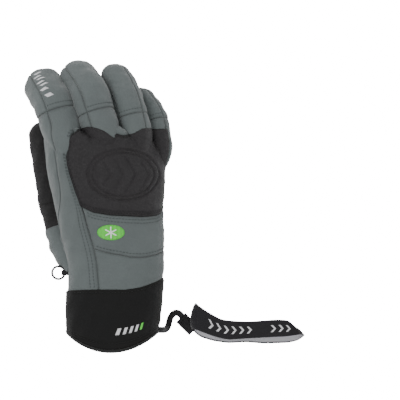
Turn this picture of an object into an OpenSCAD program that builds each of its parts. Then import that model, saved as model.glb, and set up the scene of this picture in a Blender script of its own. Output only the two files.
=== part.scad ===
// Insulated ski glove for the right hand, lying palm down and half curled,
// with its elastic wrist leash. Origin on the table under the middle of the
// cuff: +Y towards the fingertips, +X towards the little finger, +Z up.

/* [Hand] */
// Widest half-width of the hand at the knuckles
hand_half_w = 58; // [55:0.5:60]
// Half-thickness of the padded hand at the knuckles
hand_half_t = 19.5; // [18:0.5:20]
// How far the index side is tipped up at the knuckles, in degrees
knuckle_roll = 22; // [21:1:23]
// Height of the middle of the knuckles above the table
knuckle_z = 41; // [40.5:0.5:42]

/* [Fingers] */
// Radius of the index finger
index_r = 16.2; // [15:0.1:16.4]
// Radius of the middle finger
middle_r = 14.8; // [14:0.1:15.4]
// Radius of the ring finger
ring_r = 13; // [12.5:0.1:13.6]
// Radius of the little finger
little_r = 10.8; // [10.4:0.1:11.1]
// Downward pitch of the fingers between knuckle and middle joint, in degrees
base_pitch = 12; // [10:1:13]

/* [Thumb] */
// Radius of the thumb
thumb_r = 12.5; // [11:0.1:13]
// Knuckle to middle joint of the thumb
thumb_base_len = 38; // [36:1:40]
// Middle joint to centre of the round thumb end
thumb_tip_len = 42; // [40:1:44]

/* [Cuff] */
// Full width of the cuff across the wrist
cuff_w = 84; // [82:1:86]
// Full height of the cuff above the table
cuff_h = 54; // [53:1:55]
// Place of the sewn edge where the cuff meets the grey panels
cuff_top_y = 22; // [20:1:22]
// Place of the open end of the cuff at its middle
cuff_end_y = -33; // [-36:1:-30]
// Length of the folded binding round the open end
binding_len = 7; // [5:1:9]

/* [Layers] */
// Thickness of the outer fabric and leather
shell_t = 1.6; // [1.2:0.1:1.8]
// Thickness of the quilted filling in the hand
fill_t = 2.8; // [2:0.1:3]
// Thickness of the fleece lining
lining_t = 1.4; // [1:0.1:1.6]
// Gap left between neighbouring layers and panels
gap = 0.3; // [0.2:0.05:0.4]

/* [Leash and ring] */
// Width of the elastic leash band
band_w = 20; // [18:1:22]
// Thickness of the leash band
band_t = 1.6; // [1.4:0.1:2]
// Diameter of the narrow leash strap
strap_d = 4.4; // [4:0.1:4.8]
// Radius of the hole in the clip ring
ring_hole_r = 4.7; // [4.4:0.1:5]

/* [Hidden] */
$fn = 48;

dark = [0.2, 0.2, 0.2];
palm_black = [0.13, 0.13, 0.14];
cloth_grey = [0.42, 0.46, 0.46];
fleece = [0.3, 0.3, 0.32];

// Hand cross-sections from cuff to knuckles, one row a station:
// place along Y, centre X, centre Z, half-width, half-thickness, roll, arch
stations = [
    [cuff_top_y, 1.5, cuff_h / 2, 41.5, 26.4, 0, 0],
    [45, 3, 29, 43, 24, 2, 0],
    [70, -0.5, 33, 46, 22.5, 7, 2],
    [100, -3.5, 37.5, 49, 22, 12, 6],
    [130, -5.5, 40, 54, 21, 17, 10],
    [158, -6, knuckle_z, hand_half_w, hand_half_t, knuckle_roll, 12]
];
section_power = 2.5;      // squareness of the oval sections

wrist_y = 61;             // wrist bending line
wrist_gap = 5;            // room each side of it
hand_start_y = wrist_y + wrist_gap;
hand_end_y = 146;         // where the finger collars take over
gauntlet_end_y = wrist_y - wrist_gap;
yoke_start_y = hand_end_y + gap;

// Finger rows: hinge X, Y, Z, radius, knuckle-to-middle-joint length,
// middle-joint-to-round-end length, pitch of the end part, lean towards the
// thumb side, roll of the knuckle line, turn that each joint has room for
index = [-44, 163, 58, index_r, 28, 26, 50, 15, 15, 15];
middle = [-10, 170, 59, middle_r, 29, 28, 50, 13, 20, 27];
ring = [19.8, 166, 46.8, ring_r, 28, 28, 42, 8, 26, 27];
little = [40.8, 157, 29.5, little_r, 20, 22, 46, 0, 42, 27];
joint_play = 0.5;

thumb_hinge = [-48, 82, 13.4];
thumb_lean = 9;
thumb_tip_lean = 13;
thumb_range = 30;

// Leash strap route, from the binding down to the table and round to the tab
strap_route = [
    [43.2, -14, 19], [45, -14.2, 16], [46.6, -14.1, 12.5], [48, -13.4, 9], [49, -12, 6], [49.7, -10, 3.8],
    [50.2, -7.5, 2.6], [50.8, -5, 2.3], [52, -2.4, 2.3], [53.8, -0.3, 2.3], [56, 0.9, 2.3], [58.2, 0.8, 2.3],
    [60, -0.3, 2.3], [61.4, -1.7, 2.3]
];
strap_sides = 8;

// Leash band: a collapsed loop, longer in X than it is high
band_left = 76;
band_right = 173;
band_top_z = 13;
band_steps = 8;           // stations round each end of the loop
band_runs = 8;            // stations along each layer between the ends
band_near_y = -21;        // edge of the top layer nearest the cuff mouth
band_slide = 5;           // how far the lower layer has slid towards the cuff mouth
band_kick = 9;            // how far the end at the tab is pulled towards the fingers
band_kick_len = 26;       // over this length

// ---- oval sections of the hand ----

function pick(y, i = 0) =
    i >= len(stations) - 2 || y <= stations[i + 1][0] ? i : pick(y, i + 1);

function station(y) =
    let (i = pick(y),
         f = (y - stations[i][0]) / (stations[i + 1][0] - stations[i][0]))
    stations[i] + f * (stations[i + 1] - stations[i]);

function squared(v) = sign(v) * pow(abs(v), 2 / section_power);

// Point on the hand at place y, angle a (0 little side, 90 back, 180 thumb side,
// 270 palm) and depth d under the outer surface
function skin(y, a, d) =
    let (s = station(y),
         x = (s[3] - d) * squared(cos(a)),
         z = (s[4] - d) * squared(sin(a)) + s[6] * (0.9 - pow(x / s[3], 2)))
    [s[1] + x * cos(s[5]) + z * sin(s[5]), y, s[2] - x * sin(s[5]) + z * cos(s[5])];

// Two triangles over the four corners of a grid cell, wound clockwise from outside
function cell(p, q, r, s) = [[p, q, r], [p, r, s]];

// A curved panel between two places and two angles, from depth d0 down to d1
module panel(y0, y1, a0, a1, d0, d1, ny = 4, na = 8) {
    row = na + 1;
    side = (ny + 1) * row;
    points = [for (d = [d0, d1], i = [0:ny], j = [0:na])
        skin(y0 + (y1 - y0) * i / ny, a0 + (a1 - a0) * j / na, d)];
    outer = [for (i = [0:ny - 1], j = [0:na - 1])
        let (p = i * row + j) each cell(p, p + 1, p + row + 1, p + row)];
    inner = [for (i = [0:ny - 1], j = [0:na - 1])
        let (p = side + i * row + j) each cell(p, p + row, p + row + 1, p + 1)];
    ends = [for (j = [0:na - 1])
        let (p = j, q = ny * row + j)
        each concat(cell(p + 1, p, side + p, side + p + 1), cell(q, q + 1, side + q + 1, side + q))];
    edges = [for (i = [0:ny - 1])
        let (p = i * row, q = p + na)
        each concat(cell(p, p + row, side + p + row, side + p),
                    cell(q + row, q, side + q, side + q + row))];
    polyhedron(points, concat(outer, inner, ends, edges));
}

// A sleeve all round the hand between two places and two depths
module sleeve(y0, y1, d0, d1, ny = 4, na = 24) {
    side = (ny + 1) * na;
    points = [for (d = [d0, d1], i = [0:ny], j = [0:na - 1])
        skin(y0 + (y1 - y0) * i / ny, 360 * j / na, d)];
    outer = [for (i = [0:ny - 1], j = [0:na - 1])
        let (p = i * na + j, q = i * na + (j + 1) % na) each cell(p, q, q + na, p + na)];
    inner = [for (i = [0:ny - 1], j = [0:na - 1])
        let (p = side + i * na + j, q = side + i * na + (j + 1) % na)
        each cell(p, p + na, q + na, q)];
    ends = [for (j = [0:na - 1])
        let (p = j, q = (j + 1) % na, t = ny * na)
        each concat(cell(q, p, side + p, side + q), cell(t + p, t + q, side + t + q, side + t + p))];
    polyhedron(points, concat(outer, inner, ends));
}

// ---- round fingers ----

// Puts its children in a frame whose Y runs along a finger and X along its knuckle line
module along(at, lean, roll, pitch) {
    translate(at) rotate([-pitch, roll, lean]) children();
}

// The point at distance d along that frame's Y
function step_from(at, lean, roll, pitch, d) =
    let (x = -sin(pitch) * sin(roll))
    at + d * [x * cos(lean) - cos(pitch) * sin(lean), x * sin(lean) + cos(pitch) * cos(lean),
              -sin(pitch) * cos(roll)];

function play(r, turn) = r * tan(turn / 2) + joint_play;

// Sector of a tube along Y, from angle a0 to a1 (0 is +X, 90 is up), open at both ends
module tube_part(r, t, y0, y1, a0, a1) {
    rotate([-90, 0, 0]) mirror([0, 1, 0]) rotate([0, 0, a0])
        rotate_extrude(angle = a1 - a0)
            translate([r - t, y0]) square([t, y1 - y0]);
}

// Half outline of a finger with a round end, from y0 to the centre of the end at y1
module finger_outline(r, y0, y1) {
    intersection() {
        translate([0, y0]) square([r, y1 - y0 + r]);
        union() {
            translate([0, y0]) square([r, y1 - y0]);
            translate([0, y1]) circle(r);
        }
    }
}

// The same sector with a closed round end centred on y1
module tip_part(r, t, y0, y1, a0, a1) {
    rotate([-90, 0, 0]) mirror([0, 1, 0]) rotate([0, 0, a0])
        rotate_extrude(angle = a1 - a0) difference() {
            finger_outline(r, y0, y1);
            translate([-1, 0]) square([1, y1 + r]);
            finger_outline(r - t, y0 - 1, y1);
        }
}

side_gap = 1.2;           // half-angle left open between neighbouring finger panels
lining_depth = shell_t + gap;

module base_frame(f) {
    along([f[0], f[1], f[2]], f[7], f[8], base_pitch) children();
}

module tip_frame(f) {
    along(step_from([f[0], f[1], f[2]], f[7], f[8], base_pitch, f[4]), f[7], f[8], f[6]) children();
}

// Room each side of the middle joint at its sharpest bend, at depth d under its axis
function bend_play(f, d) = d * tan((f[6] - base_pitch + f[9]) / 2) + joint_play;

// A panel of the first part of finger f, ending short of the middle joint by g
module finger_base(f, a0, a1, g) {
    base_frame(f)
        tube_part(f[3], shell_t, play(f[3], f[9]), f[4] - g, a0 + side_gap, a1 - side_gap);
}

// A panel of the end part of finger f, starting g beyond the middle joint
module finger_tip(f, a0, a1, g) {
    tip_frame(f) tip_part(f[3], shell_t, g, f[5], a0 + side_gap, a1 - side_gap);
}

module finger_base_back(f) { color(cloth_grey) finger_base(f, 30, 150, joint_play); }
module finger_base_palm(f) { color(palm_black) finger_base(f, 210, 330, bend_play(f, f[3])); }
module finger_base_fourchettes(f) {
    g = bend_play(f, f[3] * sin(30));
    color(cloth_grey) {
        finger_base(f, -30, 30, g);
        finger_base(f, 150, 210, g);
    }
}
module finger_base_lining(f) {
    r = f[3] - lining_depth;
    color(fleece) base_frame(f)
        tube_part(r, lining_t, play(f[3], f[9]), f[4] - bend_play(f, r), 0, 360);
}
module finger_tip_back(f) { color(cloth_grey) finger_tip(f, -20, 200, bend_play(f, f[3] * sin(20))); }
module finger_tip_palm(f) { color(palm_black) finger_tip(f, 200, 340, bend_play(f, f[3])); }
module finger_tip_lining(f) {
    r = f[3] - lining_depth;
    color(fleece) tip_frame(f) tip_part(r, lining_t, bend_play(f, r), f[5], 0, 360);
}

// ---- hand ----

dark_start_y = 93;
little_edge = 10;         // angle of the dark panel's edge on the little finger side
dark_edge = 126;          // and on the thumb side
thumb_side_edge = 186;
palm_edge = 330;
sliver = 0.5;             // angle left open between neighbouring hand panels

module back_panel() {
    color(dark)
        panel(dark_start_y, hand_end_y, little_edge, dark_edge - sliver, 0, shell_t, 5, 10);
}
module thumb_side_panel() {
    color(cloth_grey)
        panel(hand_start_y, hand_end_y, dark_edge, thumb_side_edge - sliver, 0, shell_t, 6, 6);
}
module little_side_panel() {
    color(cloth_grey)
        panel(hand_start_y, hand_end_y, palm_edge - 360, little_edge - sliver, 0, shell_t, 6, 5);
}
module wrist_back_panel() {
    color(cloth_grey)
        panel(hand_start_y, dark_start_y - gap, little_edge, dark_edge - sliver, 0, shell_t, 2, 10);
}
module palm_panel() {
    color(palm_black)
        panel(hand_start_y, hand_end_y, thumb_side_edge, palm_edge - sliver, 0, shell_t, 6, 12);
}
module palm_patch() {
    color(dark) panel(84, 120, 268, 318, -1.6, -0.6, 4, 6);
}
module palm_welt() {
    color(dark) panel(90, 136, 236, 244, -1.8, -0.5, 5, 2);
}
module hand_insulation() {
    d = shell_t + gap;
    color("white") sleeve(hand_start_y, hand_end_y, d, d + fill_t);
}
module hand_lining() {
    d = shell_t + fill_t + 2 * gap;
    color(fleece) sleeve(hand_start_y, hand_end_y, d, d + lining_t);
}

// Short tubes that carry the four fingers, joined by the webs in the crotches
module knuckle_yoke() {
    color(cloth_grey) intersection() {
        translate([-100, yoke_start_y, 0]) cube([200, 60, 100]);
        union() {
            for (f = [index, middle, ring, little])
                base_frame(f) tube_part(f[3], shell_t, -30, -play(f[3], f[9]), 0, 360);
            base_frame(index) translate([index_r - 0.8, -13, -4]) cube([3.4, 6, 8]);
            base_frame(middle) translate([middle_r - 0.8, -13, -4]) cube([3.6, 6, 8]);
            base_frame(ring) rotate([0, 16, 0]) translate([ring_r - 0.8, -17, -4]) cube([4, 6, 8]);
        }
    }
}

// ---- thumb ----

module thumb_base(a0, a1) {
    g = play(thumb_r, thumb_range);
    along(thumb_hinge, thumb_lean, 0, 0)
        tube_part(thumb_r, shell_t, g, thumb_base_len - g, a0 + side_gap, a1 - side_gap);
}
module thumb_tip_frame() {
    along(step_from(thumb_hinge, thumb_lean, 0, 0, thumb_base_len), thumb_tip_lean, 0, 0) children();
}
module thumb_tip(a0, a1) {
    thumb_tip_frame()
        tip_part(thumb_r, shell_t, play(thumb_r, thumb_range), thumb_tip_len, a0 + side_gap, a1 - side_gap);
}
module thumb_base_back() { color(dark) thumb_base(80, 250); }
module thumb_base_palm() { color(palm_black) thumb_base(250, 440); }
module thumb_base_lining() {
    g = play(thumb_r, thumb_range);
    color(fleece) along(thumb_hinge, thumb_lean, 0, 0)
        tube_part(thumb_r - lining_depth, lining_t, g, thumb_base_len - g, 0, 360);
}
module thumb_tip_back() { color(dark) thumb_tip(80, 250); }
module thumb_tip_palm() { color(palm_black) thumb_tip(250, 440); }
module thumb_tip_lining() {
    color(fleece) thumb_tip_frame()
        tip_part(thumb_r - lining_depth, lining_t, play(thumb_r, thumb_range), thumb_tip_len, 0, 360);
}
module thumb_gusset() {
    color(cloth_grey) along(thumb_hinge, thumb_lean, 0, 0)
        tube_part(thumb_r, shell_t, -8.6, -play(thumb_r, thumb_range), 0, 360);
}

// ---- gauntlet ----

elastic_w = 13;           // width of the shirred band on the palm side

module gauntlet_back() {
    color(cloth_grey)
        panel(cuff_top_y + gap, gauntlet_end_y, little_edge, dark_edge - sliver, 0, shell_t, 4, 10);
}
module gauntlet_thumb_side() {
    color(cloth_grey)
        panel(cuff_top_y + gap, gauntlet_end_y, dark_edge, thumb_side_edge - sliver, 0, shell_t, 4, 5);
}
module gauntlet_palm() {
    color(cloth_grey)
        panel(cuff_top_y + gap, gauntlet_end_y - elastic_w - gap, thumb_side_edge, little_edge + 360 - sliver,
              0, shell_t, 3, 14);
}
module wrist_elastic() {
    color(cloth_grey)
        panel(gauntlet_end_y - elastic_w, gauntlet_end_y, thumb_side_edge, little_edge + 360 - sliver,
              0, shell_t, 2, 14);
}
module badge() {
    color("limegreen") panel(67.5, 81.5, 82, 101, -1.4, -0.5, 3, 6);
}

// ---- cuff ----

// Stadium outline of the cuff, shrunk by d all round
module cuff_outline(d) {
    r = cuff_h / 2;
    half = cuff_w / 2 - r;
    for (x = [-half, half]) translate([x, r]) circle(r - d);
    translate([-half, d]) square([2 * half, cuff_h - 2 * d]);
}

// Tube of that outline along Y
module cuff_tube(y0, y1, d0, d1) {
    translate([0, y1, 0]) rotate([90, 0, 0]) linear_extrude(y1 - y0)
        difference() {
            cuff_outline(d0);
            cuff_outline(d1);
        }
}

cuff_shell = 2.4;         // neoprene
cuff_bow_r = 63;          // radius of the open end, seen from above
bow_y = cuff_end_y + cuff_bow_r;

// Everything inside the bowed open end, held d short of it
module inside_bow(d) {
    translate([0, bow_y, -10]) cylinder(h = 100, r = cuff_bow_r - d, $fn = 96);
}
module cuff_half(z0) {
    intersection() {
        cuff_tube(cuff_end_y - 1, cuff_top_y, 0, cuff_shell);
        inside_bow(binding_len + gap);
        translate([-60, -60, z0]) cube([120, 120, 60]);
    }
}
module cuff_back() {
    color([0.11, 0.11, 0.11]) cuff_half(cuff_h / 2 + gap / 2);
}
module cuff_palm() {
    color([0.11, 0.11, 0.11]) cuff_half(cuff_h / 2 - gap / 2 - 60);
}
module cuff_binding() {
    color([0.08, 0.08, 0.08]) difference() {
        intersection() {
            cuff_tube(cuff_end_y - 1, cuff_top_y - 1, 0, cuff_shell + lining_t);
            inside_bow(0);
        }
        inside_bow(binding_len);
    }
}
module cuff_lining() {
    d = cuff_shell + gap;
    color(fleece) intersection() {
        cuff_tube(cuff_end_y - 1, cuff_top_y, d, d + lining_t);
        inside_bow(binding_len + gap);
    }
}

// ---- clip ring and its tape ----

ring_wire_r = 1.1;
ring_mid_r = ring_hole_r + 0.9;
tape_hole_r = 2.2;
tape_r = 3;
ring_pin = [-43.6, 38, 28];     // the ring's wire passes through the tape here

module ring_tape() {
    color([0.1, 0.1, 0.1]) translate([ring_pin[0], ring_pin[1] + 2.5, ring_pin[2]])
        rotate([90, 0, 0]) linear_extrude(5) difference() {
            union() {
                circle(tape_r);
                translate([0, -tape_r]) square([3.1, 2 * tape_r]);
            }
            circle(tape_hole_r);
        }
}
module clip_ring() {
    color([0.07, 0.07, 0.07]) translate(ring_pin - [ring_mid_r, 0, 0])
        rotate_extrude() intersection() {
            translate([ring_mid_r, 0]) circle(ring_wire_r);
            translate([ring_hole_r, -2]) square([4, 4]);
        }
}

// ---- wrist leash ----

function unit(v) = v / norm(v);
function heading(i) =
    unit(strap_route[min(i + 1, len(strap_route) - 1)] - strap_route[max(i - 1, 0)]);

module leash_strap() {
    n = len(strap_route);
    rings = [for (i = [0:n - 1])
        let (h = heading(i), u = unit(cross([0.1, 0.2, 1], h)), v = cross(h, u))
        [for (k = [0:strap_sides - 1])
            strap_route[i] + strap_d / 2 * (cos(360 * k / strap_sides) * u + sin(360 * k / strap_sides) * v)]];
    points = [for (r = rings) each r];
    walls = [for (i = [0:n - 2], k = [0:strap_sides - 1])
        let (p = i * strap_sides + k, q = i * strap_sides + (k + 1) % strap_sides)
        each cell(p, p + strap_sides, q + strap_sides, q)];
    caps = [[for (k = [0:strap_sides - 1]) k],
            [for (k = [strap_sides - 1:-1:0]) (n - 1) * strap_sides + k]];
    color([0.1, 0.1, 0.1]) polyhedron(points, concat(walls, caps));
}

module leash_tab() {
    color([0.08, 0.08, 0.08]) translate([66.4, -6.7, 0.2]) rotate([0, 0, -45])
        translate([-7, -5.5, 0]) cube([14, 11, 4.2]);
}

// The loop's outline in the X-Z plane: two straight layers and two round ends
function band_ring(inset) =
    let (r = band_top_z / 2, x0 = band_left + r, x1 = band_right - r, q = r - inset)
    concat(
        [for (k = [0:band_steps]) let (a = 90 + 180 * k / band_steps) [x0 + q * cos(a), r + q * sin(a)]],
        [for (k = [1:band_runs - 1]) [x0 + (x1 - x0) * k / band_runs, r - q]],
        [for (k = [0:band_steps]) let (a = -90 + 180 * k / band_steps) [x1 + q * cos(a), r + q * sin(a)]],
        [for (k = [1:band_runs - 1]) [x1 - (x1 - x0) * k / band_runs, r + q]]);

// Near edge of the band: the lower layer is slid sideways, the tab end is kicked up
function band_edge(p) =
    band_near_y - band_slide * (1 - p[1] / band_top_z)
    + band_kick * pow(max(0, 1 - (p[0] - band_left) / band_kick_len), 2);

module leash_band() {
    outer = band_ring(0);
    inner = band_ring(band_t);
    n = len(outer);
    slide = [for (p = outer) band_edge(p)];
    rail = function (ring, w) [for (i = [0:n - 1]) [ring[i][0], slide[i] + w, ring[i][1]]];
    points = concat(rail(outer, 0), rail(outer, band_w), rail(inner, band_w), rail(inner, 0));
    faces = [for (s = [0:3], i = [0:n - 1])
        let (j = (i + 1) % n, t = (s + 1) % 4)
        each cell(s * n + i, t * n + i, t * n + j, s * n + j)];
    color([0.12, 0.12, 0.14]) polyhedron(points, faces);
}

back_panel();
thumb_side_panel();
little_side_panel();
wrist_back_panel();
palm_panel();
palm_patch();
palm_welt();
thumb_gusset();
knuckle_yoke();
hand_insulation();
hand_lining();
finger_base_back(index);  // index_base_back
finger_base_palm(index);  // index_base_palm
finger_base_fourchettes(index);  // index_base_fourchettes
finger_base_lining(index);  // index_base_lining
finger_tip_back(index);  // index_tip_back
finger_tip_palm(index);  // index_tip_palm
finger_tip_lining(index);  // index_tip_lining
finger_base_back(middle);  // middle_base_back
finger_base_palm(middle);  // middle_base_palm
finger_base_fourchettes(middle);  // middle_base_fourchettes
finger_base_lining(middle);  // middle_base_lining
finger_tip_back(middle);  // middle_tip_back
finger_tip_palm(middle);  // middle_tip_palm
finger_tip_lining(middle);  // middle_tip_lining
finger_base_back(ring);  // ring_base_back
finger_base_palm(ring);  // ring_base_palm
finger_base_fourchettes(ring);  // ring_base_fourchettes
finger_base_lining(ring);  // ring_base_lining
finger_tip_back(ring);  // ring_tip_back
finger_tip_palm(ring);  // ring_tip_palm
finger_tip_lining(ring);  // ring_tip_lining
finger_base_back(little);  // little_base_back
finger_base_palm(little);  // little_base_palm
finger_base_fourchettes(little);  // little_base_fourchettes
finger_base_lining(little);  // little_base_lining
finger_tip_back(little);  // little_tip_back
finger_tip_palm(little);  // little_tip_palm
finger_tip_lining(little);  // little_tip_lining
thumb_base_back();
thumb_base_palm();
thumb_base_lining();
thumb_tip_back();
thumb_tip_palm();
thumb_tip_lining();
gauntlet_back();
gauntlet_thumb_side();
gauntlet_palm();
wrist_elastic();
badge();
cuff_back();
cuff_palm();
cuff_binding();
cuff_lining();
ring_tape();
clip_ring();
leash_strap();
leash_tab();
leash_band();
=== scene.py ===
import bpy
import numpy as np
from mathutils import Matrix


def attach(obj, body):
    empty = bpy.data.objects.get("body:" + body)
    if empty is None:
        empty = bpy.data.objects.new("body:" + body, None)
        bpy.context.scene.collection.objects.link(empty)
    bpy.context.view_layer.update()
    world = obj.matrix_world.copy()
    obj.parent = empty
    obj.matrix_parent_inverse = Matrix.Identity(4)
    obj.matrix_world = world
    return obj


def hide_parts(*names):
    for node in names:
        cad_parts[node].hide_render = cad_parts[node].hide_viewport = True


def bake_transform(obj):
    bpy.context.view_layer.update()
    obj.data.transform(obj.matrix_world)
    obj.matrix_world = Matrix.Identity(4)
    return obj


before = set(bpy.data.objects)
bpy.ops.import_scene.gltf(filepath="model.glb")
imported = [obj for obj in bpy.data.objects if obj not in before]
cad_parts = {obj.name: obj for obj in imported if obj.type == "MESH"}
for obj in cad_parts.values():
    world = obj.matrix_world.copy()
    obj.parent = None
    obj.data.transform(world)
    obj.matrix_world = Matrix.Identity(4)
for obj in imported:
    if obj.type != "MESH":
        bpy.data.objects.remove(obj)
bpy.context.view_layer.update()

scene = bpy.context.scene

# ---- Floor, camera and lights ------------------------------------------------
# A plain pale floor under the glove, a long lens straight above it, and two
# large soft lamps with a bright even sky, as in a catalogue studio.
camera_data = bpy.data.cameras.new("camera")
camera_data.lens = 217
camera_data.sensor_width = 36
camera_data.clip_end = 20
camera = bpy.data.objects.new("camera", camera_data)
camera.location = (0.0783, 0.1035, 2.2)
scene.collection.objects.link(camera)
scene.camera = camera


def studio_lamp(name, place, size, watts):
    """A square soft lamp at place, turned to look at the middle of the glove."""
    lamp = bpy.data.lights.new(name, "AREA")
    lamp.size = size
    lamp.energy = watts
    holder = bpy.data.objects.new(name, lamp)
    holder.location = place
    aim = camera.location.copy() * 0
    aim.xyz = (0.05, 0.09, 0.02)
    holder.rotation_euler = (aim - holder.location).to_track_quat("-Z", "Y").to_euler()
    scene.collection.objects.link(holder)


studio_lamp("key_lamp", (-0.7, 0.75, 1.3), 0.9, 17)
studio_lamp("fill_lamp", (0.6, -0.8, 1.2), 1.4, 11)

world = bpy.data.worlds.new("studio")
scene.world = world
world.use_nodes = True
sky = world.node_tree.nodes["Background"]
sky.inputs["Color"].default_value = (1, 1, 1, 1)
sky.inputs["Strength"].default_value = 0.55

floor_mesh = bpy.data.meshes.new("floor")
floor_mesh.from_pydata([(-3, -3, 0), (3, -3, 0), (3, 3, 0), (-3, 3, 0)], [], [(0, 1, 2, 3)])
floor = bpy.data.objects.new("floor", floor_mesh)
scene.collection.objects.link(floor)
floor_paint = bpy.data.materials.new("floor_paint")
floor_paint.use_nodes = True
floor_shader = floor_paint.node_tree.nodes["Principled BSDF"]
floor_shader.inputs["Base Color"].default_value = (0.93, 0.93, 0.93, 1)
floor_shader.inputs["Roughness"].default_value = 0.9
floor_shader.inputs["Emission Color"].default_value = (1, 1, 1, 1)
floor_nodes = floor_paint.node_tree
seen = floor_nodes.nodes.new("ShaderNodeLightPath")
glow = floor_nodes.nodes.new("ShaderNodeMath")
glow.operation = "MULTIPLY_ADD"
glow.inputs[1].default_value = 16.0
glow.inputs[2].default_value = 0.45
floor_nodes.links.new(seen.outputs["Is Camera Ray"], glow.inputs[0])
floor_nodes.links.new(glow.outputs[0], floor_shader.inputs["Emission Strength"])
floor_mesh.materials.append(floor_paint)


# ---- Leash strap ---------------------------------------------------------------
# The narrow elastic strap that comes out of the cuff binding on the little
# finger side, drops to the table and runs round to the tab: a flat woven ribbon.
def srgb(red, green, blue):
    """Linear colour of a swatch given in steps of 0 to 255."""
    c = np.array([red, green, blue]) / 255
    linear = np.where(c <= 0.04045, c / 12.92, ((c + 0.055) / 1.055) ** 2.4)
    return (*linear.tolist(), 1)


def node_group(name, inputs, outputs):
    """An empty shader group with named number inputs and named outputs."""
    group = bpy.data.node_groups.new(name, "ShaderNodeTree")
    for label, kind, value in inputs:
        socket = group.interface.new_socket(label, in_out="INPUT", socket_type=kind)
        socket.default_value = value
    for label, kind in outputs:
        group.interface.new_socket(label, in_out="OUTPUT", socket_type=kind)
    return group, group.nodes.new("NodeGroupInput"), group.nodes.new("NodeGroupOutput")


def reckon(tree, operation, *values):
    """One Math node on sockets or numbers; gives its output socket."""
    node = tree.nodes.new("ShaderNodeMath")
    node.operation = operation
    for i, value in enumerate(values):
        if isinstance(value, (int, float)):
            node.inputs[i].default_value = value
        else:
            tree.links.new(value, node.inputs[i])
    return node.outputs[0]


NUMBER = "NodeSocketFloat"
COLOUR = "NodeSocketColor"

# Woven threads: the product of two sine waves across and along the cloth
weave, weave_in, weave_out = node_group(
    "woven_threads", [("Across", NUMBER, 1500), ("Along", NUMBER, 1500)], [("Height", NUMBER)]
)
uv = weave.nodes.new("ShaderNodeTexCoord").outputs["UV"]
split = weave.nodes.new("ShaderNodeSeparateXYZ")
weave.links.new(uv, split.inputs[0])
wave_x = reckon(weave, "SINE", reckon(weave, "MULTIPLY", split.outputs[0], weave_in.outputs["Across"]))
wave_y = reckon(weave, "SINE", reckon(weave, "MULTIPLY", split.outputs[1], weave_in.outputs["Along"]))
crossed = reckon(weave, "MULTIPLY_ADD", reckon(weave, "MULTIPLY", wave_x, wave_y), 0.5, 0.5)
weave.links.new(crossed, weave_out.inputs["Height"])

# Leather grain: rounded cells with fine creases between them
grain, grain_in, grain_out = node_group(
    "leather_grain", [("Across", NUMBER, 700), ("Along", NUMBER, 700)], [("Height", NUMBER)]
)
place = grain.nodes.new("ShaderNodeTexCoord").outputs["Object"]
cells = grain.nodes.new("ShaderNodeTexVoronoi")
cells.feature = "DISTANCE_TO_EDGE"
grain.links.new(place, cells.inputs["Vector"])
grain.links.new(grain_in.outputs["Across"], cells.inputs["Scale"])
pores = grain.nodes.new("ShaderNodeTexNoise")
grain.links.new(place, pores.inputs["Vector"])
grain.links.new(grain_in.outputs["Along"], pores.inputs["Scale"])
pebble = reckon(grain, "MINIMUM", reckon(grain, "MULTIPLY", cells.outputs["Distance"], 4.0), 1.0)
height = reckon(grain, "MULTIPLY_ADD", pores.outputs[0], 0.4, pebble)
grain.links.new(height, grain_out.inputs["Height"])

# Cloth shade: the dye lightened and darkened in slow patches, and darkened by painted shade towards its seams
shade, shade_in, shade_out = node_group(
    "cloth_shade",
    [("Dye", COLOUR, (0.5, 0.5, 0.5, 1)), ("Mottle", NUMBER, 0.1), ("Painted seam shade", NUMBER, 0.4)],
    [("Colour", COLOUR)],
)
place = shade.nodes.new("ShaderNodeTexCoord").outputs["Object"]
patches = shade.nodes.new("ShaderNodeTexNoise")
patches.inputs["Scale"].default_value = 45
patches.inputs["Detail"].default_value = 6
shade.links.new(place, patches.inputs["Vector"])
lift = reckon(shade, "MULTIPLY", reckon(shade, "SUBTRACT", patches.outputs[0], 0.5),
    shade_in.outputs["Mottle"])
# Painted shade: the colour is darkened where the seam attribute marks a seam groove or an inner sheet.
seam_mark = shade.nodes.new("ShaderNodeAttribute")
seam_mark.attribute_name = "seam"
painted_seam_darkening = reckon(shade, "MULTIPLY", seam_mark.outputs["Fac"], shade_in.outputs["Painted seam shade"])
factor = reckon(shade, "SUBTRACT", reckon(shade, "ADD", 1.0, lift), painted_seam_darkening)
scaled = shade.nodes.new("ShaderNodeVectorMath")
scaled.operation = "SCALE"
shade.links.new(shade_in.outputs["Dye"], scaled.inputs[0])
shade.links.new(factor, scaled.inputs["Scale"])
shade.links.new(scaled.outputs[0], shade_out.inputs["Colour"])


def dyed(name, dye, roughness, surface, across, along, depth, mottle=0.35, painted_seam_shade=0.28, sheen=0.0):
    """A cloth or leather: dye with painted seam shade, and a raised surface pattern of the given depth in
    metres.
    """
    material = bpy.data.materials.new(name)
    material.use_nodes = True
    tree = material.node_tree
    shader = tree.nodes["Principled BSDF"]
    shader.inputs["Roughness"].default_value = roughness
    shader.inputs["Specular IOR Level"].default_value = 0.35
    shader.inputs["Sheen Weight"].default_value = sheen
    shader.inputs["Sheen Roughness"].default_value = 0.45
    colour = tree.nodes.new("ShaderNodeGroup")
    colour.node_tree = shade
    colour.inputs["Dye"].default_value = dye
    colour.inputs["Mottle"].default_value = mottle
    colour.inputs["Painted seam shade"].default_value = painted_seam_shade
    tree.links.new(colour.outputs["Colour"], shader.inputs["Base Color"])
    pattern = tree.nodes.new("ShaderNodeGroup")
    pattern.node_tree = surface
    pattern.inputs["Across"].default_value = across
    pattern.inputs["Along"].default_value = along
    bump = tree.nodes.new("ShaderNodeBump")
    bump.inputs["Distance"].default_value = depth
    bump.inputs["Strength"].default_value = 0.8
    tree.links.new(pattern.outputs["Height"], bump.inputs["Height"])
    tree.links.new(bump.outputs["Normal"], shader.inputs["Normal"])
    return material


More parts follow.
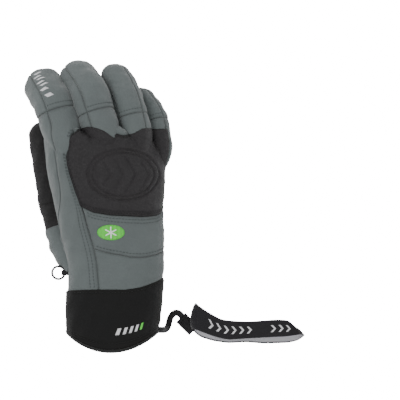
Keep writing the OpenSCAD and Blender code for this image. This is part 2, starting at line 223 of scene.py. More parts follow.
def made(name, parts, material):
    """One object from a list of (points in mm, quads, cloth coordinates in mm, seam marks). What
    would sink into the table is pressed flat on it, by a soft limit on height."""
    starts = np.cumsum([0] + [len(p[0]) for p in parts])
    points = np.concatenate([p[0] for p in parts])
    lowest, softness = 0.15, 0.5
    points[:, 2] = lowest + softness * np.logaddexp(0, (points[:, 2] - lowest) / softness)
    points = points / 1000
    quads = np.concatenate([p[1] + start for p, start in zip(parts, starts)])
    mesh = bpy.data.meshes.new(name)
    mesh.from_pydata(points.tolist(), [], quads.tolist())
    mesh.polygons.foreach_set("use_smooth", np.ones(len(quads), bool))
    cloth = np.concatenate([p[2] for p in parts]) / 1000
    layer = mesh.uv_layers.new(name="UVMap")
    layer.data.foreach_set("uv", cloth[quads.ravel()].astype(np.float32).ravel())
    mark = mesh.attributes.new("seam", "FLOAT", "POINT")
    mark.data.foreach_set("value", np.concatenate([p[3] for p in parts]).astype(np.float32))
    mesh.materials.append(material)
    mesh.update()
    obj = bpy.data.objects.new(name, mesh)
    scene.collection.objects.link(obj)
    return obj


def placed(obj, body, slot, *nodes, fill=None):
    """Puts a piece on a body (none for pieces that lie between two) and hides the nodes it
    replaces. Its slot and fill are not used."""
    if body:
        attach(obj, body)
    if nodes:
        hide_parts(*nodes)


def grid_quads(rows, columns, wrap=False):
    """Quads over a grid of points stored row by row; wrap joins the last column to the first."""
    index = np.arange(rows * columns).reshape(rows, columns)
    if wrap:
        index = np.concatenate([index, index[:, :1]], 1)
    corners = [index[:-1, :-1], index[1:, :-1], index[1:, 1:], index[:-1, 1:]]
    return np.stack(corners, -1).reshape(-1, 4)


def unit(v):
    """Vectors divided by their lengths."""
    return v / np.maximum(np.linalg.norm(v, axis=-1, keepdims=True), 1e-9)


def flat_cord(path, half_width, half_thickness, sides):
    """A flat oval carried along a path, its width kept level, closed to a point at both ends."""
    along = unit(np.gradient(path, axis=0))
    side = unit(np.cross(along, np.array([0, 0, 1.0])))
    up = np.cross(side, along)
    turn = np.linspace(0, 2 * np.pi, sides, endpoint=False)
    reach = np.ones(len(path))
    reach[[0, -1]] = 0.01
    wide = half_width * np.sign(np.cos(turn)) * np.abs(np.cos(turn)) ** 0.7
    tall = half_thickness * np.sign(np.sin(turn)) * np.abs(np.sin(turn)) ** 0.7
    ring = side[:, None] * wide[None, :, None] + up[:, None] * tall[None, :, None]
    points = path[:, None] + ring * reach[:, None, None]
    run = np.cumsum(np.r_[0, np.linalg.norm(np.diff(path, axis=0), axis=1)])
    cloth = np.stack(np.meshgrid(run, turn * half_width, indexing="ij"), -1)
    quads = grid_quads(len(path), sides, wrap=True)
    return points.reshape(-1, 3), quads, cloth.reshape(-1, 2), np.zeros(len(path) * sides)


def smoothed(points, count, passes=3):
    """The same path at count even places, with its corners averaged off."""
    points = np.array(points, float)
    run = np.cumsum(np.r_[0, np.linalg.norm(np.diff(points, axis=0), axis=1)])
    even = np.linspace(0, run[-1], count)
    path = np.stack([np.interp(even, run, points[:, k]) for k in range(3)], 1)
    for _ in range(passes):
        path[1:-1] = (path[:-2] + 2 * path[1:-1] + path[2:]) / 4
    return path


strap_black = dyed("strap_black", srgb(16, 15, 18), 0.6, weave, 2600, 1800, 0.0005, sheen=0.2)
strap_route = smoothed(
    [
        (40.2, -13.8, 22), (43.2, -14, 19), (45, -14.2, 16), (46.6, -14.1, 12.5), (48, -13.4, 9),
        (49, -12, 6),
        (49.7, -10, 3.8), (50.2, -7.5, 2.6), (50.8, -5, 2.3), (52, -2.4, 2.3), (53.8, -0.3, 2.3),
        (56, 0.9, 2.3), (58.2, 0.8, 2.3), (60, -0.3, 2.3), (61.6, -2.2, 2.3), (63, -4.4, 2.3),
    ],
    60,
)
leash_strap = made("leash_strap_cord", [flat_cord(strap_route, 2.9, 1.2, 20)], strap_black)
placed(leash_strap, "leash", "leash_elastic", "leash_strap")


# ---- Leash tab ------------------------------------------------------------------
# The folded webbing tab that joins the strap to the loop, sewn flat with a box
# of stitches. It lies turned by half a right angle on the table.
def slab(outer, inner, cloth, seam):
    """A closed sheet between an outer and an inner grid of points, with a rim all round."""
    rows, columns = outer.shape[:2]
    top = grid_quads(rows, columns)
    bottom = top[:, ::-1] + rows * columns
    index = np.arange(rows * columns).reshape(rows, columns)
    edges = np.concatenate(
        [
            np.stack([index[0, :-1], index[0, 1:]], 1),
            np.stack([index[-1, 1:], index[-1, :-1]], 1),
            np.stack([index[1:, 0], index[:-1, 0]], 1),
            np.stack([index[:-1, -1], index[1:, -1]], 1),
        ]
    )
    rims = np.concatenate([edges, edges[:, ::-1] + rows * columns], 1)
    points = np.concatenate([outer.reshape(-1, 3), inner.reshape(-1, 3)])
    cloth = np.concatenate([cloth.reshape(-1, 2)] * 2)
    # The inner sheet is marked as seam all over, so it takes the full painted seam shade of its material.
    seam = np.concatenate([seam.ravel(), np.ones(rows * columns)])
    return points, np.concatenate([top, bottom, rims]), cloth, seam


def close_steps(length, step):
    """Places from 0 to 1 along a piece, closer together near both edges."""
    edge = np.array([0, 0.25, 0.6, 1.1, 1.8, 2.6])
    count = max(2, int(np.ceil((length - 5.2) / step)))
    middle = np.linspace(2.6, length - 2.6, count + 1)[1:-1]
    return np.concatenate([edge, middle, length - edge[::-1]]) / length


def turned_down(edge, sunk, over):
    """Depth under the surface near a sewn edge: a quarter circle that falls by sunk over the last
    over mm."""
    e = np.clip(edge / over, 0, 1)
    return sunk * (1 - np.sqrt(1 - (1 - e) ** 2))


tab_long, tab_wide = 17, 12
tab_middle = (66.8, -9.6, 2.3)


def tab_skin(u, v):
    """The tab's flat middle plane, turned by minus 45 degrees."""
    x, y = (u - 0.5) * tab_long, (v - 0.5) * tab_wide
    half = np.sqrt(0.5)
    return np.stack([tab_middle[0] + (x + y) * half, tab_middle[1] + (y - x) * half,
        tab_middle[2] + 0 * x], -1)


across, along = np.meshgrid(close_steps(tab_long, 1), close_steps(tab_wide, 1), indexing="ij")
edge = np.minimum(np.minimum(across, 1 - across) * tab_long, np.minimum(along, 1 - along) * tab_wide)
thick = 2.0 - turned_down(edge, 1.4, 1.6) + 0.12 * np.sin(across * 26)
middle = tab_skin(across, along)
up = np.array([0, 0, 1.0])
tab_cloth = np.stack([across * tab_long, along * tab_wide], -1)
webbing_black = dyed("webbing_black", srgb(14, 13, 16), 0.7, weave, 3000, 1500, 0.0004, sheen=0.15)
# The tab's edges are marked as seam, so they take painted seam shade.
leash_tab = made(
    "leash_tab_webbing",
    [slab(middle + up * thick[..., None], middle - up * thick[..., None], tab_cloth, np.exp(-edge ** 2))],
    webbing_black,
)
placed(leash_tab, "leash", "webbing", "leash_tab")


def stitches(rows, pitch=3.0, share=0.68, radius=0.32):
    """Dashes of thread: for each row of (points, normals) a short six-sided bar with rounded
    ends every pitch mm, arched a little over the cloth."""
    parts = []
    turn = np.linspace(0, 2 * np.pi, 6, endpoint=False)
    place = np.array([0, 0.14, 0.5, 0.86, 1.0])
    fat = np.array([0.45, 1, 1.08, 1, 0.45]) * radius
    arch = np.array([-0.5, 0.35, 0.6, 0.35, -0.5]) * radius
    cap = np.array([[0, 3, 2, 1], [0, 5, 4, 3], [24, 25, 26, 27], [24, 27, 28, 29]])
    for points, normals in rows:
        run = np.cumsum(np.r_[0, np.linalg.norm(np.diff(points, axis=0), axis=1)])
        count = max(1, int(run[-1] / pitch))
        starts = (np.arange(count) + (1 - share) / 2) * run[-1] / count
        at = starts[:, None] + place[None] * share * pitch
        centre = np.stack([np.interp(at, run, points[:, k]) for k in range(3)], -1)
        normal = unit(np.stack([np.interp(at, run, normals[:, k]) for k in range(3)], -1))
        line = unit(centre[:, -1:] - centre[:, :1]) * np.ones((1, 5, 1))
        side = unit(np.cross(line, normal))
        centre = centre + normal * arch[None, :, None]
        ring = side[:, :, None] * np.cos(turn)[None, None, :, None]
        ring = ring + normal[:, :, None] * np.sin(turn)[None, None, :, None]
        body = centre[:, :, None] + ring * fat[None, :, None, None]
        quads = np.concatenate([grid_quads(5, 6, wrap=True), cap])
        quads = (quads[None] + (np.arange(count) * 30)[:, None, None]).reshape(-1, 4)
        total = count * 30
        parts.append((body.reshape(-1, 3), quads, np.zeros((total, 2)), np.zeros(total)))
    return parts


thread_black = dyed("thread_black", srgb(12, 12, 13), 0.5, weave, 9000, 9000, 0.0001)
box = np.array([(0.2, 0.22), (0.8, 0.22), (0.8, 0.78), (0.2, 0.78), (0.2, 0.22), (0.8, 0.78)])
box_run = np.linspace(0, 5, 60)
box_path = tab_skin(np.interp(box_run, range(6), box[:, 0]), np.interp(box_run, range(6), box[:, 1]))
tab_thread = made(
    "leash_tab_stitches", stitches([(box_path + up * 2.0, box_path * 0 + up)], 1.7, radius=0.3), thread_black
)
placed(tab_thread, "leash", "webbing")


# ---- Leash loop -----------------------------------------------------------------
# The wide elastic wrist loop, woven black outside and pale inside, lying
# collapsed on the table. Light marks are woven into its outer face.
band_corner = 6.1
band_left, band_right = 71, 173
band_half_thick = 0.75
band_wide, band_round = 20, 206


def band_line(turn):
    """Centreline of the loop for turn from 0 to 1: along the top, round the far end, back along
    the bottom and round the end at the tab, as (x, z, outward x, outward z)."""
    straight = band_right - band_left - 2 * band_corner
    bend = np.pi * band_corner
    run = (turn % 1) * 2 * (straight + bend)
    x0, x1 = band_left + band_corner, band_right - band_corner
    part_a = run < straight
    part_b = (run >= straight) & (run < straight + bend)
    part_c = (run >= straight + bend) & (run < 2 * straight + bend)
    far = np.clip((run - straight) / band_corner, 0, np.pi)
    near = np.clip((run - 2 * straight - bend) / band_corner, 0, np.pi)
    x = np.select(
        [part_a, part_b, part_c],
        [x0 + run, x1 + band_corner * np.sin(far), x1 - (run - straight - bend)],
        x0 - band_corner * np.sin(near),
    )
    z = np.select(
        [part_a, part_b, part_c],
        [0 * run + band_corner, band_corner * np.cos(far), 0 * run - band_corner],
        -band_corner * np.cos(near),
    )
    out_x = np.select([part_a, part_b, part_c], [0 * run, np.sin(far), 0 * run], -np.sin(near))
    out_z = np.select([part_a, part_b, part_c], [0 * run + 1, np.cos(far), 0 * run - 1], -np.cos(near))
    return x, z, out_x, out_z


band_high = smoothed([(68, 12, 0), (74, 7.8, 0), (98, -5.5, 0), (110, -6.8, 0), (122, -7.3, 0),
    (149, -5.4, 0),
                      (160, -6, 0), (168, -12, 0), (174, -15, 0)], 160, passes=30)
upper_low = smoothed([(68, -9, 0), (72, -13, 0), (90, -20, 0), (103, -23.4, 0), (120, -22.3, 0),
    (143, -21, 0),
                      (158, -20.2, 0), (174, -17.6, 0)], 160, passes=30)
under_low = smoothed([(68, -12, 0), (71, -15.5, 0), (78, -21.5, 0), (90, -25.2, 0), (104, -27.2, 0),
    (120, -26.2, 0),
                      (137, -27.6, 0), (160, -26.8, 0), (170, -24, 0), (174, -20.5, 0)], 160, passes=30)


def band_skin(width, turn, lift=0.0):
    """The loop's outer face: width from 0 to 1 across the band, between its upper and lower edge
    lines; the upper layer lies further from the cuff's hem, both ends lean, and lift moves it
    outwards."""
    x, z, out_x, out_z = band_line(turn)
    layer = z / (2 * band_corner) + 0.5
    lower = np.interp(x, upper_low[:, 0], upper_low[:, 1])
    under = np.interp(x, under_low[:, 0], under_low[:, 1])
    low = under + (lower - under) * layer
    high = np.interp(x, band_high[:, 0], band_high[:, 1])
    y = low + (high - low) * width
    near = np.clip((92 - x) / 21, 0, 1) ** 2
    far = np.clip((x - 148) / 25, 0, 1) ** 2
    x = x + near * (3.4 * width ** 2 - 5.6 * width * (1 - width)) - far * 4.2 * width
    wave = 0.5 * np.sin(x * 0.13 + 2.2 * width + np.sign(z) * 0.8) * np.clip((x - 80) / 20, 0, 1)
    sag = np.where(z > 0, -1.6 * np.sin(np.clip((x - 84) / 80, 0, 1) * np.pi) - 0.8 * np.abs(width - 0.4), 0)
    z = z + 6.9 + np.where(z > 0, wave, 0) + sag
    return np.stack([x + out_x * lift, y, z + out_z * lift], -1)


band_turns = np.linspace(0, 1, 400, endpoint=False)
band_widths = close_steps(band_wide, 1.4)
wide, turn = np.meshgrid(band_widths, band_turns, indexing="ij")
rib = 0.12 * np.cos(wide * band_wide * 2 * np.pi / 2.2)
band_edge = turned_down(np.minimum(wide, 1 - wide) * band_wide, 0.7, 1.0)
outer = band_skin(wide, turn, band_half_thick - band_edge + rib)
inner = band_skin(wide, turn, -band_half_thick + band_edge - rib)
rows, columns = wide.shape
band_quads = grid_quads(rows, columns, wrap=True)
index = np.arange(rows * columns).reshape(rows, columns)
following = np.roll(index, -1, 1)
low_rim = np.stack([index[0], following[0], following[0] + rows * columns, index[0] + rows * columns], 1)
high_rim = np.stack([following[-1], index[-1], index[-1] + rows * columns,
    following[-1] + rows * columns], 1)
loop_quads = np.concatenate([band_quads[:, ::-1], band_quads + rows * columns, low_rim[:, ::-1],
    high_rim[:, ::-1]])
loop_cloth = np.stack([turn * band_round, wide * band_wide], -1).reshape(-1, 2)
hidden_edge = np.exp(-((np.minimum(wide, 1 - wide) * band_wide) / 1.5) ** 4).ravel()
band_parts = [
    (
        np.concatenate([outer.reshape(-1, 3), inner.reshape(-1, 3)]),
        loop_quads,
        np.concatenate([loop_cloth, loop_cloth]),
        np.concatenate([0 * hidden_edge, hidden_edge + 2 * (1 - hidden_edge)]),
    )
]
leash_elastic = dyed("leash_elastic", srgb(14, 12, 18), 0.7, weave, 3600, 2856, 0.0005, painted_seam_shade=0.0,
    sheen=0.2)
tree = leash_elastic.node_tree
inside = tree.nodes.new("ShaderNodeAttribute")
inside.attribute_name = "seam"
pale_share = reckon(tree, "SUBTRACT", inside.outputs["Fac"], 1.0)
pale_share = reckon(tree, "MULTIPLY", reckon(tree, "MAXIMUM", pale_share, 0.0), 1.0)
pale_mix = tree.nodes.new("ShaderNodeMix")
pale_mix.data_type = "RGBA"
shader = tree.nodes["Principled BSDF"]
tree.links.new(pale_share, pale_mix.inputs[0])
tree.links.new(shader.inputs["Base Color"].links[0].from_socket, pale_mix.inputs[6])
pale_mix.inputs[7].default_value = srgb(196, 196, 201)
tree.links.new(pale_mix.outputs[2], shader.inputs["Base Color"])
leash_band = made("leash_band_loop", band_parts, leash_elastic)
placed(leash_band, "leash", "leash_elastic", "leash_band")


def bars(skin, corners, lift, steps=5):
    """Thin flat marks: for each four-cornered patch in (u, v) a slab laid on the skin, lift mm proud."""
    parts = []
    a, b = np.meshgrid(np.linspace(0, 1, steps), np.linspace(0, 1, steps), indexing="ij")
    for c in np.array(corners, float):
        weight = np.stack([(1 - a) * (1 - b), a * (1 - b), a * b, (1 - a) * b], -1)
        place = weight @ c
        cloth = place * 10
        outer = skin(place[..., 0], place[..., 1], lift)
        inner = skin(place[..., 0], place[..., 1], lift - 0.25)
        parts.append(slab(outer, inner, cloth, 0 * a))
    return parts


def turned_over(parts):
    """The same slabs with their faces turned round, for skins that run the other way."""
    return [(points, quads[:, ::-1], cloth, seam) for points, quads, cloth, seam in parts]


def leaning(u, v, tall, wide, lean):
    """Corners of a leaning bar that starts at (u, v), tall across and wide along."""
    return [(u, v), (u + tall, v + lean), (u + tall, v + lean + wide), (u, v + wide)]


band_marks = []
for start in (0.04, 0.072, 0.104, 0.136, 0.168, 0.2, 0.3, 0.332, 0.364, 0.56, 0.592, 0.624, 0.656, 0.8,
    0.832):
    band_marks.append(leaning(0.3, start, 0.22, 0.009, 0.014))
    band_marks.append(leaning(0.5, start + 0.014, 0.22, 0.009, -0.014))


def band_face(width, turn, lift):
    """The woven outer face of the loop, turned so that marks laid on it face outwards."""
    return band_skin(width, turn, band_half_thick + lift)


woven_white = dyed("woven_white", srgb(206, 206, 208), 0.7, weave, 3600, 2856, 0.0004, mottle=0.2)
band_thread = made(
    "leash_band_marks",
    turned_over(bars(band_face, band_marks, 0.16)),
    woven_white,
)
placed(band_thread, "leash", "leash_elastic")
loop_turn = np.linspace(0.875, 1.865, 160)
loop_line = band_skin(0 * loop_turn + 0.5, loop_turn, 0.0)


# ---- Hand: grey shell panels -------------------------------------------------------
# The back of the hand is cut from grey softshell over quilted filling, sewn edge to
# edge. Every panel lies on one hand form, a row of oval sections from cuff to crotches.
hand_rows = np.array(
    [
        (-40, -1.5, 27, 38.6, 27, 0, 0), (-12, -0.6, 27, 40.2, 27, 0, 0),
        (10, 0.6, 27, 41.5, 26.8, 0, 0), (24, 1.2, 27, 42, 26.4, 0, 0),
        (45, 3, 29, 43, 24, 2, 0), (70, -0.5, 33, 46, 22.5, 7, 2), (100, -3.5, 37.5, 49, 22, 12, 6),
        (130, -5.5, 40, 54, 21, 17, 10), (158, -6, 41, 57.5, 19.5, 22, 12),
        (200, -6, 41, 57.5, 19.5, 22, 12),
    ],
    float,
)
dense_y = np.arange(-60, 221, 0.5)
blur = np.hanning(37)
blur = blur / blur.sum()
dense_rows = np.stack(
    [np.convolve(np.interp(dense_y, hand_rows[:, 0], hand_rows[:, k]), blur, "same") for k in range(1, 7)], 0
)


def crotch_line(x):
    """Place along the hand where back and palm meet, for each place across it."""
    across = [-70, -56, -46, -36, -27, -18, -10, 0, 6, 13, 20, 26, 32, 38, 46, 56]
    along = [158, 166, 171, 170, 164, 171, 175, 173, 166, 171, 172, 166, 156, 161, 160, 150]
    return np.interp(x, across, along)


def squared(v):
    """A cosine or sine pushed outwards so that an ellipse becomes a rounded box."""
    return np.sign(v) * np.abs(v) ** 0.8


def hand_form(y, angle, depth=0.0):
    """Point on the hand at y, at an angle round its section (0 little finger side, 90 back, 180
    thumb side, 270 palm): a squared ellipse with an arched back, tipped up on the index side,
    that closes in a quarter circle at the crotches. Depth goes inwards."""
    cx, cz, wide, tall, roll, arch = (np.interp(y, dense_y, row) for row in dense_rows)
    turn, roll = np.radians(angle), np.radians(roll)
    x = (wide - depth) * squared(np.cos(turn))
    left = crotch_line(cx + x * np.cos(roll)) - y
    closing = np.sqrt(1 - np.clip(1 - left / 12, 0, 1) ** 2)
    z = (tall - depth) * squared(np.sin(turn)) * closing + arch * (0.9 - (x / wide) ** 2)
    return np.stack([cx + x * np.cos(roll) + z * np.sin(roll), y + 0 * x,
        cz - x * np.sin(roll) + z * np.cos(roll)], -1)


def front_y(angle):
    """Where a panel ends at the crotches for an angle round the hand."""
    turn = np.radians(angle)
    return crotch_line(-6 + 53.3 * squared(np.cos(turn)) + 5 * np.sin(turn)) - 0.2


def soft_folds(p):
    """Height of the slow swells and small wrinkles of padded cloth at a point: products of
    sine waves in three sizes, with cross folds at the wrist."""
    x, y, z = p[..., 0], p[..., 1], p[..., 2]
    slow = np.sin(0.11 * x + 0.07 * y + 0.9) * np.sin(0.09 * y - 0.13 * z + 2.1)
    middle = np.sin(0.23 * x - 0.29 * y + 0.17 * z) * np.sin(0.19 * x + 0.12 * y + 1.7)
    small = np.sin(0.52 * x + 0.41 * y - 0.3 * z + 0.4) * np.sin(0.47 * y - 0.36 * x)
    wrist = np.exp(-((y - 62) / 10) ** 2) * np.sin(0.62 * y + 0.09 * x + 1.2 * np.sin(0.08 * x))
    return 0.6 * slow + 0.42 * middle + 0.16 * small + 0.35 * wrist


def outward(points):
    """Unit normals of a grid of points, from its two directions; a row that has shrunk to a point
    takes its neighbour's normals."""
    normal = np.cross(np.gradient(points, axis=0), np.gradient(points, axis=1))
    size = np.linalg.norm(normal, axis=-1, keepdims=True)
    normal = normal / np.maximum(size, 1e-9)
    return np.where(size < 1e-4, np.roll(normal, 1, axis=0), normal)


def sewn(skin, long, wide, step=2.2, thick=1.6, sunk=0.9, over=1.9, puff=0.0, open_end=False, extra=None):
    """A panel of padded cloth with turned-in edges: skin(u, v) raised by its folds and puff and
    rolled down at its sewn edges, over an inner sheet. Gives the slab and a function that finds
    points and normals on its face, for stitches and prints."""
    us, vs = close_steps(long, step), close_steps(wide, step)
    u, v = np.meshgrid(us, vs, indexing="ij")
    base = skin(u, v)
    normal = outward(base)
    end = np.minimum(u, 1 - u) if not open_end else u
    edge = np.minimum(end * long, np.minimum(v, 1 - v) * wide)
    lift = soft_folds(base) * np.clip(edge / 5, 0.35, 1)
    lift = lift + puff * np.sqrt(np.clip(np.sin(np.pi * u) * np.sin(np.pi * v), 0, 1))
    if extra is not None:
        lift = lift + extra(u, v, base)
    outer = base + normal * (lift - turned_down(edge, sunk, over))[..., None]
    inner = base + normal * (np.minimum(lift, 0) - thick)[..., None]
    face_normal = outward(outer)
    cloth = np.stack([u * long, v * wide], -1)

    def lay(at_u, at_v, height=0.0):
        """Points raised by height over the panel's face at (u, v), between its grid points."""
        at_u, at_v = np.broadcast_arrays(np.asarray(at_u, float), np.asarray(at_v, float))
        i = np.clip(np.searchsorted(us, at_u, side="right") - 1, 0, len(us) - 2)
        j = np.clip(np.searchsorted(vs, at_v, side="right") - 1, 0, len(vs) - 2)
        s = ((at_u - us[i]) / (us[i + 1] - us[i]))[..., None]
        t = ((at_v - vs[j]) / (vs[j + 1] - vs[j]))[..., None]

        def between(grid):
            low = grid[i, j] * (1 - s) + grid[i + 1, j] * s
            high = grid[i, j + 1] * (1 - s) + grid[i + 1, j + 1] * s
            return low * (1 - t) + high * t

        normals = unit(between(face_normal))
        return between(outer) + normals * height, normals

    # The seam mark rises towards the sewn edges, where the material paints shade into the seam grooves.
    return slab(outer, inner, cloth, np.exp(-((edge / 1.3) ** 2))), lay


def row_on(lay, u0, v0, u1, v1, count=80, height=0.12):
    """Points and normals of a straight run in a panel's (u, v) space."""
    t = np.linspace(0, 1, count)
    return lay(u0 + (u1 - u0) * t, v0 + (v1 - v0) * t, height)


def rows_on(lay, count, *ends):
    """Several straight runs on one panel, each from (u0, v0) to (u1, v1)."""
    return [row_on(lay, *each, count) for each in ends]


def round_hand(bottom, top, low, high):
    """A piece of the hand form between two places along it and two angles, where the places may
    depend on the angle and the angles on the place."""

    def skin(u, v):
        angle = low + (high - low) * v if not callable(low) and not callable(high) else None
        if angle is None:
            middle_y = 0.5 * (bottom(90) + top(90)) + 0 * u
            for _ in range(2):
                lower = low(middle_y) if callable(low) else low
                upper = high(middle_y) if callable(high) else high
                angle = lower + (upper - lower) * v
                middle_y = bottom(angle) + (top(angle) - bottom(angle)) * u
        return hand_form(bottom(angle) + (top(angle) - bottom(angle)) * u, angle)

    return skin


def seam_through(*points):
    """A seam given by the (x, y) it runs through, seen from above: for each place along the
    hand, the angle on the back of the form that lies at that x."""
    ys = np.linspace(points[0][1], points[-1][1], 60)
    xs = np.interp(ys, [p[1] for p in points], [p[0] for p in points])
    angles = np.linspace(20, 178, 240)
    along, angle = np.meshgrid(ys, angles, indexing="ij")
    off = np.abs(hand_form(along, angle)[..., 0] - xs[:, None])
    found = angles[np.argmin(off, axis=1)]
    found = np.convolve(np.pad(found, 3, "edge"), np.ones(7) / 7, "valid")
    return lambda y: np.interp(y, ys, found)


side_seam = seam_through(
    (-11.7, 18), (-11.7, 25), (-13.5, 43), (-15.3, 58.5), (-20.3, 74.7), (-26, 96), (-30.6, 104.4),
    (-38, 128), (-41, 145), (-39.5, 156), (-36, 160), (-32, 163), (-29, 165),
)
outer_seam = seam_through(
    (-39.5, 18), (-41, 36), (-43, 58), (-48, 80), (-49, 88), (-47.5, 92), (-45, 102.6), (-45.3, 113),
    (-47.7, 128),
    (-50.4, 146), (-53, 160), (-54, 170),
)


def cuff_top(angle):
    """Where the grey panels run under the cuff."""
    return np.interp(angle, [-90, -40, 0, 15, 40, 62, 80, 107, 180, 270],
        [22, 27, 33, 33, 29, 25.5, 23.4, 23.4, 21.6, 22])


def low_seam(angle):
    """The curved seam across the wrist."""
    return np.interp(angle, [-40, 10, 40, 62, 78, 93, 110, 130], [60, 58, 54.5, 52.2, 52.7, 55.8, 60.3, 62])


def dark_edge_line(angle):
    """Lower edge of the dark panel on the back of the hand."""
    return np.interp(angle, [-10, 10, 38, 64, 90, 108, 122, 135],
        [97, 94.5, 89.5, 88.2, 89.5, 92.3, 97.5, 101])


def dark_top_x(x):
    """Upper edge of the dark panel for a place across the hand: a shallow V between two crowns."""
    across = [-46, -41, -39.6, -36, -28.4, -21, -9, -2, 8.8, 19, 26.6, 36, 60]
    along = [120, 146, 153, 161, 166.6, 168.3, 165.8, 163.2, 160.3, 163.3, 167, 167.6, 167.2]
    return np.interp(x, across, along)


def dark_top(angle):
    """The same edge for an angle round the hand, never past the crotches."""
    turn = np.radians(angle)
    x = -6 + 53.3 * squared(np.cos(turn)) + 9 * np.sin(turn)
    return np.minimum(dark_top_x(x), front_y(angle))


def level(place):
    """The same place at every angle."""
    return lambda angle: place + 0 * np.asarray(angle, float)


def wrist_bend(obj):
    """Bakes the cloth's place into its mesh; the cloth lies between the hand and the cuff over the soft wrist.
    """
    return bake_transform(obj)


softshell = dyed("softshell_grey", srgb(89, 96, 96), 0.85, weave, 5200, 4100, 0.00035, mottle=0.22,
    sheen=0.25)
thread_grey = dyed("thread_grey", srgb(58, 64, 64), 0.55, weave, 9000, 9000, 0.0001)

thumb_side, thumb_lay = sewn(round_hand(lambda a: cuff_top(a) - 3, front_y, side_seam, outer_seam), 146,
    30, puff=0.5)
thumb_wall, _ = sewn(round_hand(lambda a: cuff_top(a) - 3, front_y, outer_seam, level(188)), 146, 34,
    puff=0.5)
thumb_side_cloth = made("thumb_side_shell", [thumb_side, thumb_wall], softshell)
wrist_bend(thumb_side_cloth)
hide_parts("thumb_side_panel", "gauntlet_thumb_side")


def little_seam(y):
    """Angle where the back meets the little finger's side: it slips under at the wrist."""
    return np.interp(y, [52, 90], [-9, 8])


wrist_back, wrist_lay = sewn(round_hand(low_seam, dark_edge_line, little_seam, side_seam), 36, 84, puff=0.9)
wrist_back_cloth = made("wrist_back_shell", [wrist_back], softshell)
wrist_bend(wrist_back_cloth)
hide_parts("wrist_back_panel")

gauntlet, _ = sewn(
    round_hand(lambda a: cuff_top(a) - 3, low_seam, level(-8), side_seam), 33, 92, puff=0.7
)
gauntlet_cloth = made("gauntlet_back_shell", [gauntlet], softshell)
wrist_bend(gauntlet_cloth)
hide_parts("gauntlet_back")

little_side, _ = sewn(
    round_hand(lambda a: cuff_top(a) - 3, front_y, level(-32), lambda y: little_seam(y) + 0.8), 122, 24, puff=0.5
)
little_cloth = made("little_side_shell", [little_side], softshell)
wrist_bend(little_cloth)
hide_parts("little_side_panel")

shell_rows = rows_on(thumb_lay, 300, (0.03, 0.08, 0.97, 0.08), (0.03, 0.16, 0.97, 0.16))
shell_rows += rows_on(wrist_lay, 200, *[(u, 0.03, u, 0.97) for u in (0.93, 0.85, 0.09)])
shell_thread = made("hand_shell_stitches", stitches(shell_rows, 2.9, radius=0.28), thread_grey)
wrist_bend(shell_thread)
placed(shell_thread, None, "softshell")


# ---- Hand: dark back panel -----------------------------------------------------------
# A dark leather-look panel over foam covers the back of the hand. A double oval line
# with chevron grooves in it is pressed into its middle, and its edge is topstitched.
oval_x, oval_y, oval_wide, oval_tall = 9.9, 126, 30.6, 22.5


def pressed_oval(u, v, base):
    """Height of the pressed pattern: two oval grooves round the middle of the back, and
    chevron grooves inside them."""
    x, y = (base[..., 0] - oval_x) / oval_wide, (base[..., 1] - oval_y) / oval_tall
    reach = np.sqrt(x ** 2 + y ** 2)
    top = np.clip((base[..., 2] - 30) / 10, 0, 1)
    lines = np.exp(-(((reach - 1) * 26 / 0.8) ** 2)) + 0.9 * np.exp(-(((reach - 0.86) * 26 / 0.7) ** 2))
    inside = 1 / (1 + np.exp((reach - 0.74) * 26))
    across = base[..., 0] - oval_x + 0.55 * np.abs(base[..., 1] - oval_y)
    grooves = np.abs(np.cos(across * np.pi / 11)) ** 14
    return top * (0.25 * inside - 1.1 * lines - 0.9 * inside * grooves)


back_grain = dyed("back_leather", srgb(33, 31, 33), 0.55, grain, 1250, 900, 0.00022, mottle=0.3,
    painted_seam_shade=0.5)
back, back_lay = sewn(
    round_hand(dark_edge_line, dark_top, level(7), side_seam), 76, 96, step=0.75, puff=1.5, extra=pressed_oval
)
back_cloth = made("back_panel_leather", [back], back_grain)
placed(back_cloth, "hand", "back_leather", "back_panel", "hand_insulation", fill=0.75)
back_rows = rows_on(back_lay, 300, (0.035, 0.02, 0.035, 0.98))
back_rows += rows_on(back_lay, 250, (0.02, 0.975, 0.93, 0.975))
back_rows += rows_on(back_lay, 300, (0.06, 0.02, 0.06, 0.98), (0.975, 0.02, 0.975, 0.98))
back_thread = made("back_panel_stitches", stitches(back_rows, 2.7, radius=0.26), thread_black)
placed(back_thread, "hand", "back_leather")


# Grey cloth carries on from the dark panel's upper edge to the crotches, under the fingers
knuckle_strip, _ = sewn(round_hand(dark_top, front_y, level(7), side_seam), 9, 96, step=1.5, puff=0.2)
strip_cloth = made("knuckle_strip_shell", [knuckle_strip], softshell)
placed(strip_cloth, "hand", "softshell")


# ---- Badge -------------------------------------------------------------------------------
# A small oval patch embroidered in green with a plain white snowflake, sewn on the grey
# panel below the dark one. Its threads run across it.
badge_x, badge_y, badge_wide, badge_tall = -0.9, 74.6, 12.2, 6.9


def badge_skin(radius, turn, lift=0.0):
    """The patch's face: an oval laid on the grey panel, a little domed."""
    x = badge_x + badge_wide * radius * np.cos(turn)
    y = badge_y + badge_tall * radius * np.sin(turn)
    angles = np.linspace(40, 140, 200)
    angle = np.interp(-x, -hand_form(badge_y + 0 * angles, angles)[:, 0], angles)
    base = hand_form(y, angle)
    rise = soft_folds(base) + 1.15 + 0.45 * np.sqrt(np.clip(1 - radius ** 2, 0, 1)) + lift
    return base + np.array([0.07, 0, 1.0]) * rise[..., None]


